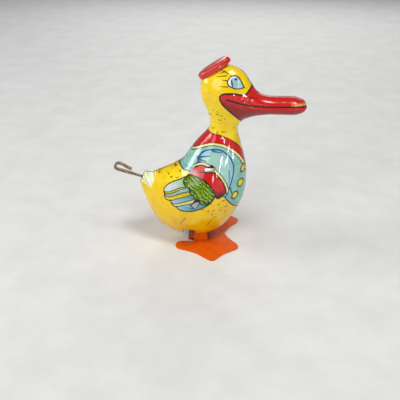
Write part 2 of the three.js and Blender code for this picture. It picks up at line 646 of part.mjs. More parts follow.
// Cheeks of the kick lever, drawn in the motor's forward and up directions from the hinge.
const FINGER_V = KICK_AT[1] + CAM_R + 0.3 - HINGE_V;
const FINGER_A = FRONT_PLATE_A + SHEET_T + 0.8 - HINGE_A;
const WEB_A = 33.6 - HINGE_A;
const rivetInMotor = new THREE.Vector3(RIVET.x, 0, RIVET.z).applyMatrix4(TO_MOTOR).sub(HINGE_IN_MOTOR);
const rivetA = rivetInMotor.z;
const rivetV = rivetInMotor.y;
const cheekShape = outline(
  [[WEB_A, FINGER_V + SHEET_T], [WEB_A, FINGER_V], [WEB_A + 1.2, FINGER_V - 1.6],
    [rivetA - 1.5, rivetV + 1.1], [rivetA - 1.7, rivetV - 0.4], [rivetA - 0.5, rivetV - 1.6],
    [rivetA + 1.3, rivetV - 1.0], [2.1, -1.6], [2.4, 0.4], [1.2, 2.1],
    [-1.2, FINGER_V + SHEET_T + 0.2]],
  [ring(0, 0, PIN_R + RUN_GAP, TURN_SIDES), ring(rivetA, rivetV, RIVET.r + FIT_GAP, TURN_SIDES)],
);
const cheeks = [CHEEK_Y + SHEET_T, -CHEEK_Y].map((x) => standing(slab(cheekShape, 0, SHEET_T), x));
const web = block([-CHEEK_Y - 0.1, FINGER_V, WEB_A], [CHEEK_Y + 0.1, FINGER_V + SHEET_T, WEB_A + 2.4]);
const finger = block([-2, FINGER_V, FINGER_A], [2, FINGER_V + SHEET_T, WEB_A + 0.5]);
const lever = addNode(footTurn, "kick_lever", "steel", join(...cheeks, web, finger));
lever.quaternion.copy(motor.quaternion);

const RIVET_HEAD = 0.35;
for (const [name, side] of [["rivet_left", 1], ["rivet_right", -1]]) {
  const inner = CHEEK_Y - 0.02;
  const outer = LEG_Y + SHEET_T + 0.02;
  const headR = RIVET.r + 0.4;
  const profile = [[0, inner - RIVET_HEAD], [headR, inner - RIVET_HEAD], [headR, inner], [RIVET.r, inner],
    [RIVET.r, outer], [headR, outer], [headR, outer + RIVET_HEAD], [0, outer + RIVET_HEAD]];
  const place = [RIVET.x - HINGE.x, 0, RIVET.z - HINGE.z];
  const rivet = addNode(footTurn, name, "steel", turned(profile, TURN_SIDES), place);
  rivet.rotation.x = -side * Math.PI / 2;
}

const PIN_END = EAR_Y + SHEET_T + 0.05;
const PIN_HEAD_R = 1.2;
const pinHalf = [[PIN_R, PIN_END], [PIN_HEAD_R, PIN_END], [PIN_HEAD_R, PIN_END + 0.35],
  [PIN_HEAD_R - 0.2, PIN_END + 0.55], [0, PIN_END + 0.55]];
const pinProfile = [...pinHalf.map(([radius, end]) => [radius, -end]).reverse(), ...pinHalf];
const axle = addNode(group, "foot_axle", "steel", turned(pinProfile, TURN_SIDES), HINGE.toArray());
axle.rotation.x = Math.PI / 2;

// Torsion spring round the axle: one end leans on the front plate, the other presses the lever down.
const COIL_R = 1.35;
const COIL_WIRE_R = 0.2;
const COIL_TURNS = 4;
const COIL_STEP = 0.65;
const COIL_START = 1.5;
const COIL_END = COIL_START + COIL_STEP * COIL_TURNS + 0.2;
const LEVER_TOP = FINGER_V + SHEET_T + 0.35;
const coilPoints = [
  [COIL_START, 3.0 - HINGE_V, FINGER_A - 0.45], [COIL_START, -1.5 - HINGE_V, 32.4 - HINGE_A],
];
for (let i = 0; i <= COIL_TURNS * 8 + 2; i += 1) {
  const angle = Math.PI * 0.75 - Math.PI * i / 4;
  coilPoints.push([COIL_START + COIL_STEP * i / 8, COIL_R * Math.sin(angle), COIL_R * Math.cos(angle)]);
}
coilPoints.push([COIL_END, LEVER_TOP, 36.0 - HINGE_A], [COIL_END, LEVER_TOP, 33.8 - HINGE_A]);
addNode(motor, "return_spring", "spring", wire(coilPoints, COIL_WIRE_R, 64, 5), [0, HINGE_V, HINGE_A]);

export default group;
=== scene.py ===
# Wind-up hopping duck of lithographed tin: fine meshes, printed artwork and materials
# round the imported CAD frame.
# Lengths in this script are millimetres in the CAD's axes until they are written to a mesh, in metres.
import math

import bmesh
import bpy
import numpy as np
from mathutils import Matrix, Vector


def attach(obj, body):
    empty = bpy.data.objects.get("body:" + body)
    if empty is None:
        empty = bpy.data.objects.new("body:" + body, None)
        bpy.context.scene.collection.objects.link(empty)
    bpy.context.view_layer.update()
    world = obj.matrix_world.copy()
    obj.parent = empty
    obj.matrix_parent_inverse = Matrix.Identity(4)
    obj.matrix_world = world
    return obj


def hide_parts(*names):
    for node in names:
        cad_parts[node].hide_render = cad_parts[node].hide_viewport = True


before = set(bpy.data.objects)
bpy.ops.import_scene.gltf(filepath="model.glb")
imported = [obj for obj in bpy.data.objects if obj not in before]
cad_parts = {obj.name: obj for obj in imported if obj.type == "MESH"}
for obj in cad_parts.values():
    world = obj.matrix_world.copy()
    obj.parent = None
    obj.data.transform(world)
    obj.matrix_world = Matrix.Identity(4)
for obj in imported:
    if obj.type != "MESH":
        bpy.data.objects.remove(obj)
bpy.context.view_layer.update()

MM = 0.001
SHELL_T = 0.4
SEAM_GAP = 0.04
SHEET_T = 0.6

# Body sections from the tail mouth to the tip of the bill: back, belly, widest point as (x, z), half width.
SECTIONS = [
    ((-32.5, 36.3), (-35.3, 30.4), (-33.9, 33.3), 3.1),
    ((-28.0, 36.2), (-33.2, 23.5), (-29.6, 30.0), 6.4),
    ((-22.0, 38.6), (-29.8, 15.5), (-24.0, 27.4), 10.6),
    ((-16.5, 41.2), (-25.0, 8.0), (-17.8, 25.4), 14.0),
    ((-12.4, 44.0), (-17.5, 3.4), (-10.8, 24.2), 16.6),
    ((-9.6, 48.2), (-8.5, 1.9), (-4.2, 24.4), 17.8),
    ((-7.0, 52.0), (0.0, 2.4), (1.5, 26.6), 17.6),
    ((-4.2, 55.4), (7.6, 6.2), (4.6, 30.8), 16.4),
    ((-1.6, 58.2), (14.2, 14.8), (6.4, 36.2), 14.6),
    ((0.3, 60.8), (18.9, 25.5), (7.4, 42.2), 12.2),
    ((1.0, 63.6), (19.9, 38.0), (7.9, 49.4), 9.6),
    ((0.7, 66.9), (17.6, 49.8), (7.9, 56.8), 7.4),
    ((-0.8, 70.8), (15.2, 58.6), (7.6, 64.0), 6.5),
    ((-2.9, 75.4), (15.3, 62.6), (7.2, 70.2), 7.4),
    ((-3.9, 81.0), (17.4, 65.4), (7.6, 75.6), 8.7),
    ((-2.3, 87.4), (20.0, 66.6), (9.6, 79.4), 9.2),
    ((3.7, 92.2), (22.6, 67.4), (12.6, 80.2), 9.0),
    ((11.0, 93.0), (25.0, 67.9), (15.8, 79.0), 8.3),
    ((17.0, 89.8), (27.4, 68.2), (18.8, 77.2), 7.4),
    ((21.0, 84.2), (29.6, 68.4), (22.0, 75.5), 6.4),
    ((24.2, 79.8), (31.8, 68.5), (25.8, 74.2), 5.8),
    ((29.4, 77.8), (34.8, 68.5), (31.0, 73.3), 5.6),
    ((36.4, 77.6), (38.8, 68.5), (37.4, 73.0), 5.8),
    ((42.2, 77.5), (43.2, 68.7), (42.6, 73.0), 5.9),
    ((46.4, 76.0), (46.6, 69.8), (46.4, 72.9), 4.6),
    ((48.0, 74.5), (48.1, 71.2), (48.0, 72.9), 2.6),
    ((48.6, 73.0), (48.6, 72.6), (48.6, 72.8), 0.4),
]
SECTION_STEPS = 16
HALF_STEPS = 96
INNER_STRIDE = 4

# Key axis and motor axes.
KEY_ORIGIN = np.array([-34.3, 0.0, 33.3])
KEY_TILT = math.radians(25)
AHEAD = np.array([math.cos(KEY_TILT), 0.0, -math.sin(KEY_TILT)])
ABOVE = np.array([math.sin(KEY_TILT), 0.0, math.cos(KEY_TILT)])
ASIDE = np.array([0.0, 1.0, 0.0])
HINGE = np.array([-3.0, 0.0, 10.0])


# ------------------------------------------------------------------ camera, light and floor
CAMERA_HEIGHT = 187.7
CAMERA_DISTANCE = 329.1
CAMERA_PITCH = math.radians(27)
CAMERA_TURN = math.radians(2.5)
AXIS_OFFSET = 4.0


def make_camera():
    data = bpy.data.cameras.new("camera")
    data.lens = 63.0
    data.sensor_width = 36.0
    data.clip_start = 0.01
    camera = bpy.data.objects.new("camera", data)
    bpy.context.collection.objects.link(camera)
    turn = Matrix.Rotation(CAMERA_TURN, 4, "Z")
    place = Matrix.Translation(Vector((-AXIS_OFFSET, -CAMERA_DISTANCE, CAMERA_HEIGHT)) * MM)
    tilt = Matrix.Rotation(math.pi / 2 - CAMERA_PITCH, 4, "X")
    camera.matrix_world = turn @ place @ tilt
    bpy.context.scene.camera = camera


def area_light(name, place, target, size, power, color):
    data = bpy.data.lights.new(name, "AREA")
    data.shape = "RECTANGLE"
    data.size = size[0]
    data.size_y = size[1]
    data.energy = power
    data.color = color
    light = bpy.data.objects.new(name, data)
    light.location = place
    aim = Vector(target) - Vector(place)
    light.rotation_euler = aim.to_track_quat("-Z", "Y").to_euler()
    bpy.context.collection.objects.link(light)


def make_light():
    middle = (0, 0, 0.05)
    area_light("top_light", (0.20, -0.16, 0.62), middle, (0.20, 0.20), 2.0, (1.0, 0.99, 0.97))
    area_light("left_light", (-0.58, 0.04, 0.27), middle, (0.26, 0.22), 1.5, (0.97, 0.98, 1.0))
    area_light("front_light", (-0.40, -0.62, 0.38), middle, (0.50, 0.50), 2.4, (1.0, 0.98, 0.96))
    for bearing in (-68, -47, -30):
        turn = math.radians(bearing)
        place = (0.65 * math.cos(turn), 0.65 * math.sin(turn), 0.08)
        area_light("right_light", place, middle, (0.03, 0.06), 0.25, (0.97, 0.98, 1.0))
    area_light("back_light", (0.04, 0.62, 0.26), middle, (0.50, 0.12), 1.0, (1.0, 1.0, 1.0))
    world = bpy.data.worlds.new("world")
    world.use_nodes = True
    world.node_tree.nodes["Background"].inputs["Color"].default_value = (0.80, 0.82, 0.85, 1)
    world.node_tree.nodes["Background"].inputs["Strength"].default_value = 0.22
    bpy.context.scene.world = world
    bpy.context.scene.view_settings.view_transform = "Standard"


# ------------------------------------------------------------------ node helpers
def srgb(red, green, blue):
    def linear(value):
        value = value / 255
        return value / 12.92 if value <= 0.04045 else ((value + 0.055) / 1.055) ** 2.4
    return (linear(red), linear(green), linear(blue), 1.0)


class Paint:
    """Builds one material's nodes; every method returns an output socket."""

    def __init__(self, name):
        self.material = bpy.data.materials.new(name)
        self.material.use_nodes = True
        self.tree = self.material.node_tree
        self.shader = self.tree.nodes["Principled BSDF"]

    def node(self, kind):
        return self.tree.nodes.new(kind)

    def feed(self, socket, value):
        if isinstance(value, bpy.types.NodeSocket):
            self.tree.links.new(value, socket)
        else:
            socket.default_value = value

    def math(self, operation, first, second=0.0, third=0.0, clamp=False):
        node = self.node("ShaderNodeMath")
        node.operation = operation
        node.use_clamp = clamp
        for socket, value in zip(node.inputs, (first, second, third)):
            self.feed(socket, value)
        return node.outputs[0]

    def ramp(self, value, low, high, start=0.0, end=1.0):
        node = self.node("ShaderNodeMapRange")
        names = ("Value", "From Min", "From Max", "To Min", "To Max")
        for name, item in zip(names, (value, low, high, start, end)):
            self.feed(node.inputs[name], item)
        return node.outputs[0]

    def mix(self, share, first, second):
        node = self.node("ShaderNodeMix")
        node.data_type = "RGBA"
        self.feed(node.inputs[0], share)
        self.feed(node.inputs[6], first)
        self.feed(node.inputs[7], second)
        return node.outputs[2]

    def attribute(self, name):
        node = self.node("ShaderNodeAttribute")
        node.attribute_name = name
        return node.outputs["Fac"]

    def place(self, scale=(1000, 1000, 1000), turn=(0, 0, 0), shift=(0, 0, 0)):
        coordinate = self.node("ShaderNodeTexCoord")
        mapping = self.node("ShaderNodeMapping")
        mapping.inputs["Scale"].default_value = scale
        mapping.inputs["Rotation"].default_value = turn
        mapping.inputs["Location"].default_value = shift
        self.tree.links.new(coordinate.outputs["Object"], mapping.inputs["Vector"])
        return mapping.outputs[0]

    def parts(self, vector):
        node = self.node("ShaderNodeSeparateXYZ")
        self.feed(node.inputs[0], vector)
        return node.outputs

    def vector(self, x, y, z):
        node = self.node("ShaderNodeCombineXYZ")
        for socket, value in zip(node.inputs, (x, y, z)):
            self.feed(socket, value)
        return node.outputs[0]

    def noise(self, vector, scale, detail=3.0, roughness=0.55):
        node = self.node("ShaderNodeTexNoise")
        self.feed(node.inputs["Vector"], vector)
        node.inputs["Scale"].default_value = scale
        node.inputs["Detail"].default_value = detail
        node.inputs["Roughness"].default_value = roughness
        return node.outputs["Fac"]

    def inside(self, field, edge=0.0, soft=0.12):
        return self.ramp(field, edge - soft, edge + soft, 1.0, 0.0)

    def line(self, field, half, soft=0.1):
        return self.inside(self.math("ABSOLUTE", field), half, soft)

    def both(self, first, second):
        return self.math("MULTIPLY", first, second)

    def bump(self, height, distance, strength=1.0, normal=None):
        node = self.node("ShaderNodeBump")
        node.inputs["Strength"].default_value = strength
        node.inputs["Distance"].default_value = distance * MM
        self.feed(node.inputs["Height"], height)
        if normal is not None:
            self.feed(node.inputs["Normal"], normal)
        return node.outputs[0]

    def finish(self, color, roughness, metallic=0.0, normal=None, **plain):
        self.feed(self.shader.inputs["Base Color"], color)
        self.feed(self.shader.inputs["Roughness"], roughness)
        self.feed(self.shader.inputs["Metallic"], metallic)
        if normal is not None:
            self.feed(self.shader.inputs["Normal"], normal)
        for name, value in plain.items():
            self.shader.inputs[name.replace("_", " ")].default_value = value
        return self.material


# ------------------------------------------------------------------ printed artwork, as outlines in (x, z)
def closed(points, steps=8):
    ring = np.array(points, float)
    before, after, beyond = np.roll(ring, 1, 0), np.roll(ring, -1, 0), np.roll(ring, -2, 0)
    result = []
    for t in np.arange(steps) / steps:
        bend = (2 * before - 5 * ring + 4 * after - beyond) * t * t
        twist = (3 * ring - before - 3 * after + beyond) * t ** 3
        result.append(0.5 * (2 * ring + (after - before) * t + bend + twist))
    return np.stack(result, 1).reshape(-1, 2)


def signed_distance(points, outline):
    """Distance in mm from each (x, z) to a closed outline, negative inside."""
    ends = np.roll(outline, -1, 0)
    nearest = np.full(len(points), np.inf)
    inside = np.zeros(len(points), bool)
    for a, b in zip(outline, ends):
        step = b - a
        share = np.clip(((points - a) @ step) / max(step @ step, 1e-9), 0, 1)
        nearest = np.minimum(nearest, np.linalg.norm(points - a - share[:, None] * step, axis=1))
        crosses = (a[1] > points[:, 1]) != (b[1] > points[:, 1])
        rise = b[1] - a[1] if abs(b[1] - a[1]) > 1e-9 else 1e-9
        inside ^= crosses & (points[:, 0] < a[0] + (points[:, 1] - a[1]) * step[0] / rise)
    return np.where(inside, -nearest, nearest)


ARTWORK = {
    "collar": [(-2.0, 63.0), (0.3, 60.5), (4.9, 60.0), (9.3, 58.3), (13.0, 55.9), (15.9, 52.6), (17.9, 48.4),
               (19.2, 44.3), (22.0, 40.0), (20.6, 38.0), (19.4, 41.6), (18.0, 45.2), (15.7, 49.0),
               (12.5, 52.2), (8.7, 54.6), (5.0, 55.8), (1.9, 55.9), (-1.8, 54.6), (-5.0, 52.9),
               (-7.7, 51.1), (-11.0, 49.0), (-13.0, 54.0), (-8.0, 61.0)],
    "jacket": [(-13.0, 54.0), (-6.0, 56.0), (0.0, 57.5), (6.0, 57.5), (11.0, 55.5), (15.0, 52.0),
               (17.5, 48.0), (19.2, 43.5), (23.0, 38.0), (23.0, 28.0), (18.0, 19.5), (13.8, 21.7),
               (11.1, 25.5), (9.3, 28.4), (8.0, 32.0), (4.0, 38.0), (-2.0, 41.5), (-8.5, 41.9),
               (-11.8, 41.5), (-14.0, 42.3), (-18.0, 43.0), (-18.0, 50.0)],
    "sleeve": [(-4.4, 47.6), (-3.4, 50.2), (-1.1, 52.1), (2.6, 53.1), (6.9, 52.3), (10.7, 49.1), (12.9, 45.0),
               (13.3, 40.6), (12.2, 35.9), (10.9, 32.3), (9.8, 29.6), (7.6, 30.0), (5.0, 36.0), (0.0, 41.0),
               (-5.0, 43.0)],
    "cuff": [(-8.5, 41.0), (-8.4, 42.2), (-6.0, 44.4), (-4.0, 45.4), (-2.1, 45.8), (0.4, 45.1), (3.0, 43.3),
             (5.4, 40.6), (7.7, 37.4), (9.1, 34.4), (9.7, 31.6), (9.5, 31.0), (7.6, 29.6), (6.0, 28.9),
             (5.2, 29.2), (4.2, 31.2), (3.4, 33.4), (1.7, 35.9), (-0.8, 38.3), (-3.6, 39.9),
             (-6.4, 40.7)],
    "cuff_piping": [(-7.8, 44.1), (-5.2, 45.9), (-2.4, 46.9), (0.4, 46.4), (3.4, 44.6), (6.2, 41.6),
                    (8.6, 38.1), (10.3, 34.3), (10.8, 31.7), (9.8, 30.7), (9.2, 32.4), (8.3, 34.6),
                    (6.0, 38.0), (3.2, 41.8), (0.4, 44.0), (-2.3, 45.0), (-5.1, 44.4), (-7.2, 43.0)],
    "collar_piping": [(-8.4, 50.2), (-5.4, 51.7), (-2.0, 53.4), (1.9, 54.7), (4.7, 54.7), (8.2, 53.4),
                      (11.8, 51.2), (14.9, 48.2), (17.1, 44.7), (18.6, 41.0), (20.4, 38.4),
                      (22.0, 40.0), (19.4, 43.0), (18.0, 46.8), (15.2, 50.6), (12.2, 53.4),
                      (8.6, 55.6), (5.0, 56.8), (1.6, 56.8), (-2.2, 55.6), (-5.4, 54.0), (-9.0, 52.2)],
    "green": [(-11.4, 37.6), (-11.6, 36.1), (-10.8, 34.9), (-9.5, 34.3), (-8.0, 33.9), (-8.6, 32.7),
              (-7.9, 31.3), (-6.5, 30.7), (-6.1, 29.4), (-4.9, 28.6), (-3.5, 28.4), (-3.2, 27.1),
              (-1.8, 26.3), (0.1, 26.4), (1.8, 27.3), (3.3, 28.7), (4.2, 30.4), (3.9, 32.4),
              (3.1, 34.7), (1.4, 36.8), (-1.1, 38.5), (-3.6, 39.6), (-5.6, 40.3), (-7.3, 40.8),
              (-9.4, 40.0)],
    "feather_1": [(-9.6, 39.3), (-13.0, 37.6), (-15.9, 36.2), (-18.8, 34.6), (-20.8, 32.9), (-21.8, 31.2),
                  (-21.4, 30.2), (-19.5, 30.4), (-16.6, 31.8), (-13.8, 33.4), (-8.5, 35.3)],
    "feather_2": [(-21.6, 30.5), (-21.2, 29.5), (-19.5, 29.5), (-16.3, 31.0), (-13.5, 32.6), (-8.3, 35.0),
                  (-9.5, 35.8), (-13.8, 34.4), (-16.6, 33.0)],
    "feather_3": [(-21.2, 29.8), (-20.9, 28.4), (-19.5, 27.9), (-16.3, 29.2), (-12.8, 31.1), (-6.6, 33.7),
                  (-8.3, 35.4), (-13.5, 33.9), (-16.6, 32.3)],
    "feather_4": [(-21.2, 28.6), (-20.9, 26.9), (-19.5, 26.3), (-16.9, 26.9), (-13.4, 28.6), (-6.1, 31.8),
                  (-7.2, 33.6), (-12.8, 32.4), (-16.3, 30.7)],
    "feather_5": [(-17.9, 26.7), (-17.5, 25.1), (-15.7, 25.0), (-12.3, 26.4), (-4.9, 29.8), (-6.2, 31.6),
                  (-13.4, 29.9)],
    "feather_6": [(-17.5, 25.6), (-16.6, 23.9), (-14.6, 24.0), (-10.6, 25.5), (-3.8, 28.2), (-4.9, 30.2),
                  (-12.3, 27.8)],
    "feather_7": [(-14.8, 24.2), (-14.2, 22.6), (-12.3, 22.0), (-8.3, 22.2), (-3.8, 23.7),
                  (-0.4, 25.5), (2.6, 27.7), (0.6, 29.4), (-3.8, 29.4), (-10.6, 27.0)],
    "face": [(5.8, 79.0), (6.7, 80.9), (9.1, 81.4), (12.8, 81.3), (15.5, 80.7), (18.0, 80.7), (19.7, 82.2),
             (21.2, 83.8), (23.0, 87.0), (32.0, 92.0), (56.0, 86.0), (56.0, 58.0), (24.0, 58.0), (17.4, 64.6),
             (16.1, 66.6), (13.0, 70.0), (9.8, 73.2), (7.0, 76.1)],
    "eye": [(9.7, 87.7), (11.0, 89.1), (13.1, 89.3), (15.1, 88.0), (16.5, 85.6), (17.2, 84.0), (14.8, 83.6),
            (12.2, 84.0), (10.1, 85.2), (9.4, 86.5)],
    "tail": [(-37.0, 33.2), (-37.0, 40.0), (-31.0, 40.5), (-26.7, 39.0), (-26.6, 37.0), (-27.2, 34.6),
             (-28.1, 32.0), (-28.9, 30.0), (-29.5, 29.9), (-31.5, 31.0), (-34.0, 31.9)],
    "ticks": [(-24.5, 39.5), (-12.5, 43.5), (-12.5, 38.5), (-17.0, 37.0), (-24.5, 34.5), (-26.0, 36.5)],
    "ticks_belly": [(-2.5, 24.2), (3.5, 25.3), (7.2, 28.4), (11.2, 23.8), (9.5, 20.0), (3.0, 19.8),
                    (-2.5, 21.5)],
    "ticks_neck": [(1.0, 74.0), (6.0, 71.0), (13.0, 69.0), (13.0, 61.5), (1.0, 61.5)],
}
BUTTONS = [((18.0, 41.3), (1.15, 1.9)), ((16.9, 34.1), (1.45, 2.1)), ((14.2, 28.2), (1.5, 2.1))]
MOUTH = [(5.0, 79.6), (8.6, 78.7), (11.8, 77.7), (15.6, 76.4), (20.4, 75.2), (25.8, 74.2),
         (32.3, 73.8), (39.8, 74.2), (45.7, 73.9), (50.0, 73.2)]
MOUTH_DEGREE = 5
MOUTH_SPAN = (4.0, 50.0)


def mouth_height(x):
    points = np.array(MOUTH)
    fit = np.polynomial.Polynomial.fit(points[:, 0], points[:, 1], MOUTH_DEGREE)
    return fit(np.clip(x, *MOUTH_SPAN))


def store_fields(obj):
    """Writes the artwork's fields on a mesh, so that the shader can threshold them."""
    mesh = obj.data
    count = len(mesh.vertices)
    coords = np.empty(count * 3, np.float32)
    mesh.vertices.foreach_get("co", coords)
    coords = coords.reshape(-1, 3) / MM
    flat = coords[:, [0, 2]].astype(float)
    fields = {name: signed_distance(flat, closed(points)) for name, points in ARTWORK.items()}
    fields["mouth"] = flat[:, 1] - mouth_height(flat[:, 0])
    feathers = [values for name, values in fields.items() if name.startswith("feather")]
    fields["plume"] = np.min(feathers, axis=0)
    for name, values in fields.items():
        layer = mesh.attributes.new(name, "FLOAT", "POINT")
        layer.data.foreach_set("value", np.clip(values, -50, 50).astype(np.float32))


# ------------------------------------------------------------------ body shells
def smooth(rows, steps):
    rows = np.array(rows, float)
    padded = np.vstack([2 * rows[0] - rows[1], rows, 2 * rows[-1] - rows[-2]])
    result = []
    for i in range(1, len(padded) - 2):
        a, b, c, d = padded[i - 1:i + 3]
        for t in np.arange(steps) / steps:
            bend = (2 * a - 5 * b + 4 * c - d) * t * t
            result.append(0.5 * (2 * b + (c - a) * t + bend + (3 * b - a - 3 * c + d) * t ** 3))
    result.append(rows[-1])
    return np.array(result)


def skin_grids():
    """Outer skin points of the +Y half and their outward normals, as rows along the body."""
    stations = smooth([(*u, *l, *r, w) for u, l, r, w in SECTIONS], SECTION_STEPS)
    turn = np.linspace(0, math.pi, HALF_STEPS + 1)
    share = np.cos(turn)
    back, belly, ridge, width = stations[:, 0:2], stations[:, 2:4], stations[:, 4:6], stations[:, 6]
    toward = np.where((share >= 0)[None, :, None], back[:, None], belly[:, None])
    flat = ridge[:, None] + (toward - ridge[:, None]) * np.abs(share)[None, :, None]
    side = width[:, None] * np.sin(turn)[None]
    skin = np.stack([flat[..., 0], side, flat[..., 1]], -1)
    mirror = np.array([1, -1, 1])
    wide = np.concatenate([skin[:, 1:2] * mirror, skin, skin[:, -2:-1] * mirror], 1)
    across = wide[:, 2:] - wide[:, :-2]
    along = np.gradient(skin, axis=0)
    normal = np.cross(along, across)
    normal /= np.maximum(np.linalg.norm(normal, axis=-1, keepdims=True), 1e-9)
    normal[-1] = (1, 0, 0)
    return skin, normal


# The groove pressed along the mouth, and the edges rolled in at the middle seam.
GROOVE_START = 17
GROOVE_FADE = 8
GROOVE_HALF = 0.55
GROOVE_DEPTH = 0.28
ROLL_DEPTH = 0.16
ROLL_REACH = 0.3


def half_shell(name, side):
    skin, normal = skin_grids()
    depth = mouth_height(skin[..., 0])
    along_bill = np.clip((skin[..., 0] - GROOVE_START) / GROOVE_FADE, 0, 1)
    groove = np.exp(-((skin[..., 2] - depth) / GROOVE_HALF) ** 2) * along_bill
    roll = ROLL_DEPTH * np.exp(-skin[..., 1] / ROLL_REACH)
    outer = skin - normal * (GROOVE_DEPTH * groove + roll)[..., None]
    inner = (skin - normal * SHELL_T)[::INNER_STRIDE, ::INNER_STRIDE]
    rows, columns = outer.shape[:2]
    vertices = []
    for grid in (outer, inner):
        grid = grid.copy()
        grid[..., 1] = SEAM_GAP + np.maximum(grid[..., 1], 0)
        grid[..., 1] *= side
        vertices.append(grid.reshape(-1, 3))
    in_rows, in_columns = inner.shape[:2]
    start = rows * columns
    faces = []
    for i in range(rows - 1):
        for j in range(columns - 1):
            a = i * columns + j
            faces.append((a, a + columns, a + columns + 1, a + 1))
    outer_faces = len(faces)
    for i in range(in_rows - 1):
        for j in range(in_columns - 1):
            a = start + i * in_columns + j
            faces.append((a, a + 1, a + in_columns + 1, a + in_columns))
    edge = [(i, 0) for i in range(in_rows - 1)] + [(in_rows - 1, j) for j in range(in_columns - 1)]
    edge += [(i, in_columns - 1) for i in range(in_rows - 1, 0, -1)]
    edge += [(0, j) for j in range(in_columns - 1, 0, -1)]
    for (i, j), (k, m) in zip(edge, edge[1:] + edge[:1]):
        fine = [((i * (INNER_STRIDE - s) + k * s) * columns + j * (INNER_STRIDE - s) + m * s)
                for s in range(INNER_STRIDE + 1)]
        faces.append((*fine, start + k * in_columns + m, start + i * in_columns + j))
    if side < 0:
        faces = [face[::-1] for face in faces]
    obj = make_object(name, np.vstack(vertices), faces)
    face_out(obj)
    indices = np.ones(len(faces), np.int32)
    indices[:outer_faces] = 0
    obj.data.polygons.foreach_set("material_index", indices)
    return obj


def make_object(name, points, faces):
    mesh = bpy.data.meshes.new(name)
    corners = (np.asarray(points, float) * MM).tolist()
    mesh.from_pydata(corners, [], [tuple(int(v) for v in face) for face in faces])
    mesh.update()
    obj = bpy.data.objects.new(name, mesh)
    bpy.context.collection.objects.link(obj)
    return obj


def modify(obj, kind, **settings):
    modifier = obj.modifiers.new(kind.lower(), kind)
    for name, value in settings.items():
        setattr(modifier, name, value)
    bpy.context.view_layer.objects.active = obj
    with bpy.context.temp_override(object=obj, active_object=obj, selected_objects=[obj]):
        bpy.ops.object.modifier_apply(modifier=modifier.name)


def shade(obj, angle=40):
    obj.data.shade_smooth()
    obj.data.set_sharp_from_angle(angle=math.radians(angle))


def to_world(points):
    """Motor axes (across, up the plates, along the key) to the duck's axes."""
    points = np.asarray(points, float)
    return KEY_ORIGIN + points[..., :1] * ASIDE + points[..., 1:2] * ABOVE + points[..., 2:3] * AHEAD


# ------------------------------------------------------------------ mesh helpers for the smaller pieces
def rounded(points, radius, steps=3):
    """Replaces each sharp corner of an open or closed line by a short arc; points on the axis stay."""
    points = [np.array(p, float) for p in points]
    result = [points[0]]
    for before, corner, after in zip(points, points[1:], points[2:]):
        into, out = before - corner, after - corner
        reach = min(radius, 0.45 * np.linalg.norm(into), 0.45 * np.linalg.norm(out))
        start = corner + into / np.linalg.norm(into) * reach
        end = corner + out / np.linalg.norm(out) * reach
        for t in np.linspace(0, 1, steps + 1):
            result.append((1 - t) ** 2 * start + 2 * t * (1 - t) * corner + t * t * end)
    result.append(points[-1])
    return np.array(result)


def lathe(name, profile, place, segments=56, corner=0.1):
    """Turns a (radius, height) profile that starts and ends on the axis; place maps it to the duck."""
    line = rounded(profile, corner)
    angles = np.arange(segments) * 2 * math.pi / segments
    points = [(0, 0, line[0][1])]
    for radius, height in line[1:-1]:
        points += [(radius * math.cos(a), radius * math.sin(a), height) for a in angles]
    points.append((0, 0, line[-1][1]))
    rings = len(line) - 2
    last = len(points) - 1
    faces = []
    for j in range(segments):
        k = (j + 1) % segments
        faces.append((0, 1 + k, 1 + j))
        faces.append((last, 1 + (rings - 1) * segments + j, 1 + (rings - 1) * segments + k))
        for i in range(rings - 1):
            a = 1 + i * segments
            faces.append((a + j, a + k, a + segments + k, a + segments + j))
    obj = make_object(name, place(np.array(points, float)), faces)
    face_out(obj)
    shade(obj, 50)
    return obj


def face_out(obj):
    bm = bmesh.new()
    bm.from_mesh(obj.data)
    bmesh.ops.recalc_face_normals(bm, faces=bm.faces)
    bm.to_mesh(obj.data)
    bm.free()


def circle(u, v, radius, segments=40):
    angles = np.arange(segments) * 2 * math.pi / segments
    return np.stack([u + radius * np.cos(angles), v + radius * np.sin(angles)], 1)


def sheet(name, outline, holes, low, high, place, bevel=0.06):
    """Extrudes an outline with holes from low to high and rounds its edges a little."""
    bm = bmesh.new()
    for loop in [outline, *holes]:
        verts = [bm.verts.new((p[0], p[1], low)) for p in loop]
        for a, b in zip(verts, verts[1:] + verts[:1]):
            bm.edges.new((a, b))
    bmesh.ops.triangle_fill(bm, use_beauty=True, edges=bm.edges[:])
    bmesh.ops.dissolve_limit(bm, angle_limit=0.01, verts=bm.verts[:], edges=bm.edges[:])
    top = bmesh.ops.extrude_face_region(bm, geom=bm.faces[:])["geom"]
    for vert in (item for item in top if isinstance(item, bmesh.types.BMVert)):
        vert.co.z = high
    bmesh.ops.recalc_face_normals(bm, faces=bm.faces)
    mesh = bpy.data.meshes.new(name)
    bm.to_mesh(mesh)
    bm.free()
    obj = bpy.data.objects.new(name, mesh)
    bpy.context.collection.objects.link(obj)
    coords = np.empty(len(mesh.vertices) * 3, np.float32)
    mesh.vertices.foreach_get("co", coords)
    mesh.vertices.foreach_set("co", (place(coords.reshape(-1, 3).astype(float)) * MM).ravel())
    mesh.update()
    face_out(obj)
    if bevel:
        soften(obj, bevel)
    shade(obj, 35)
    return obj


def soften(obj, width, segments=2, angle=40):
    modify(obj, "BEVEL", width=width * MM, segments=segments, limit_method="ANGLE",
           angle_limit=math.radians(angle), use_clamp_overlap=True, profile=0.5)


# Length of a wire's rounded end, as a share of its radius.
END_BULGE = 0.6


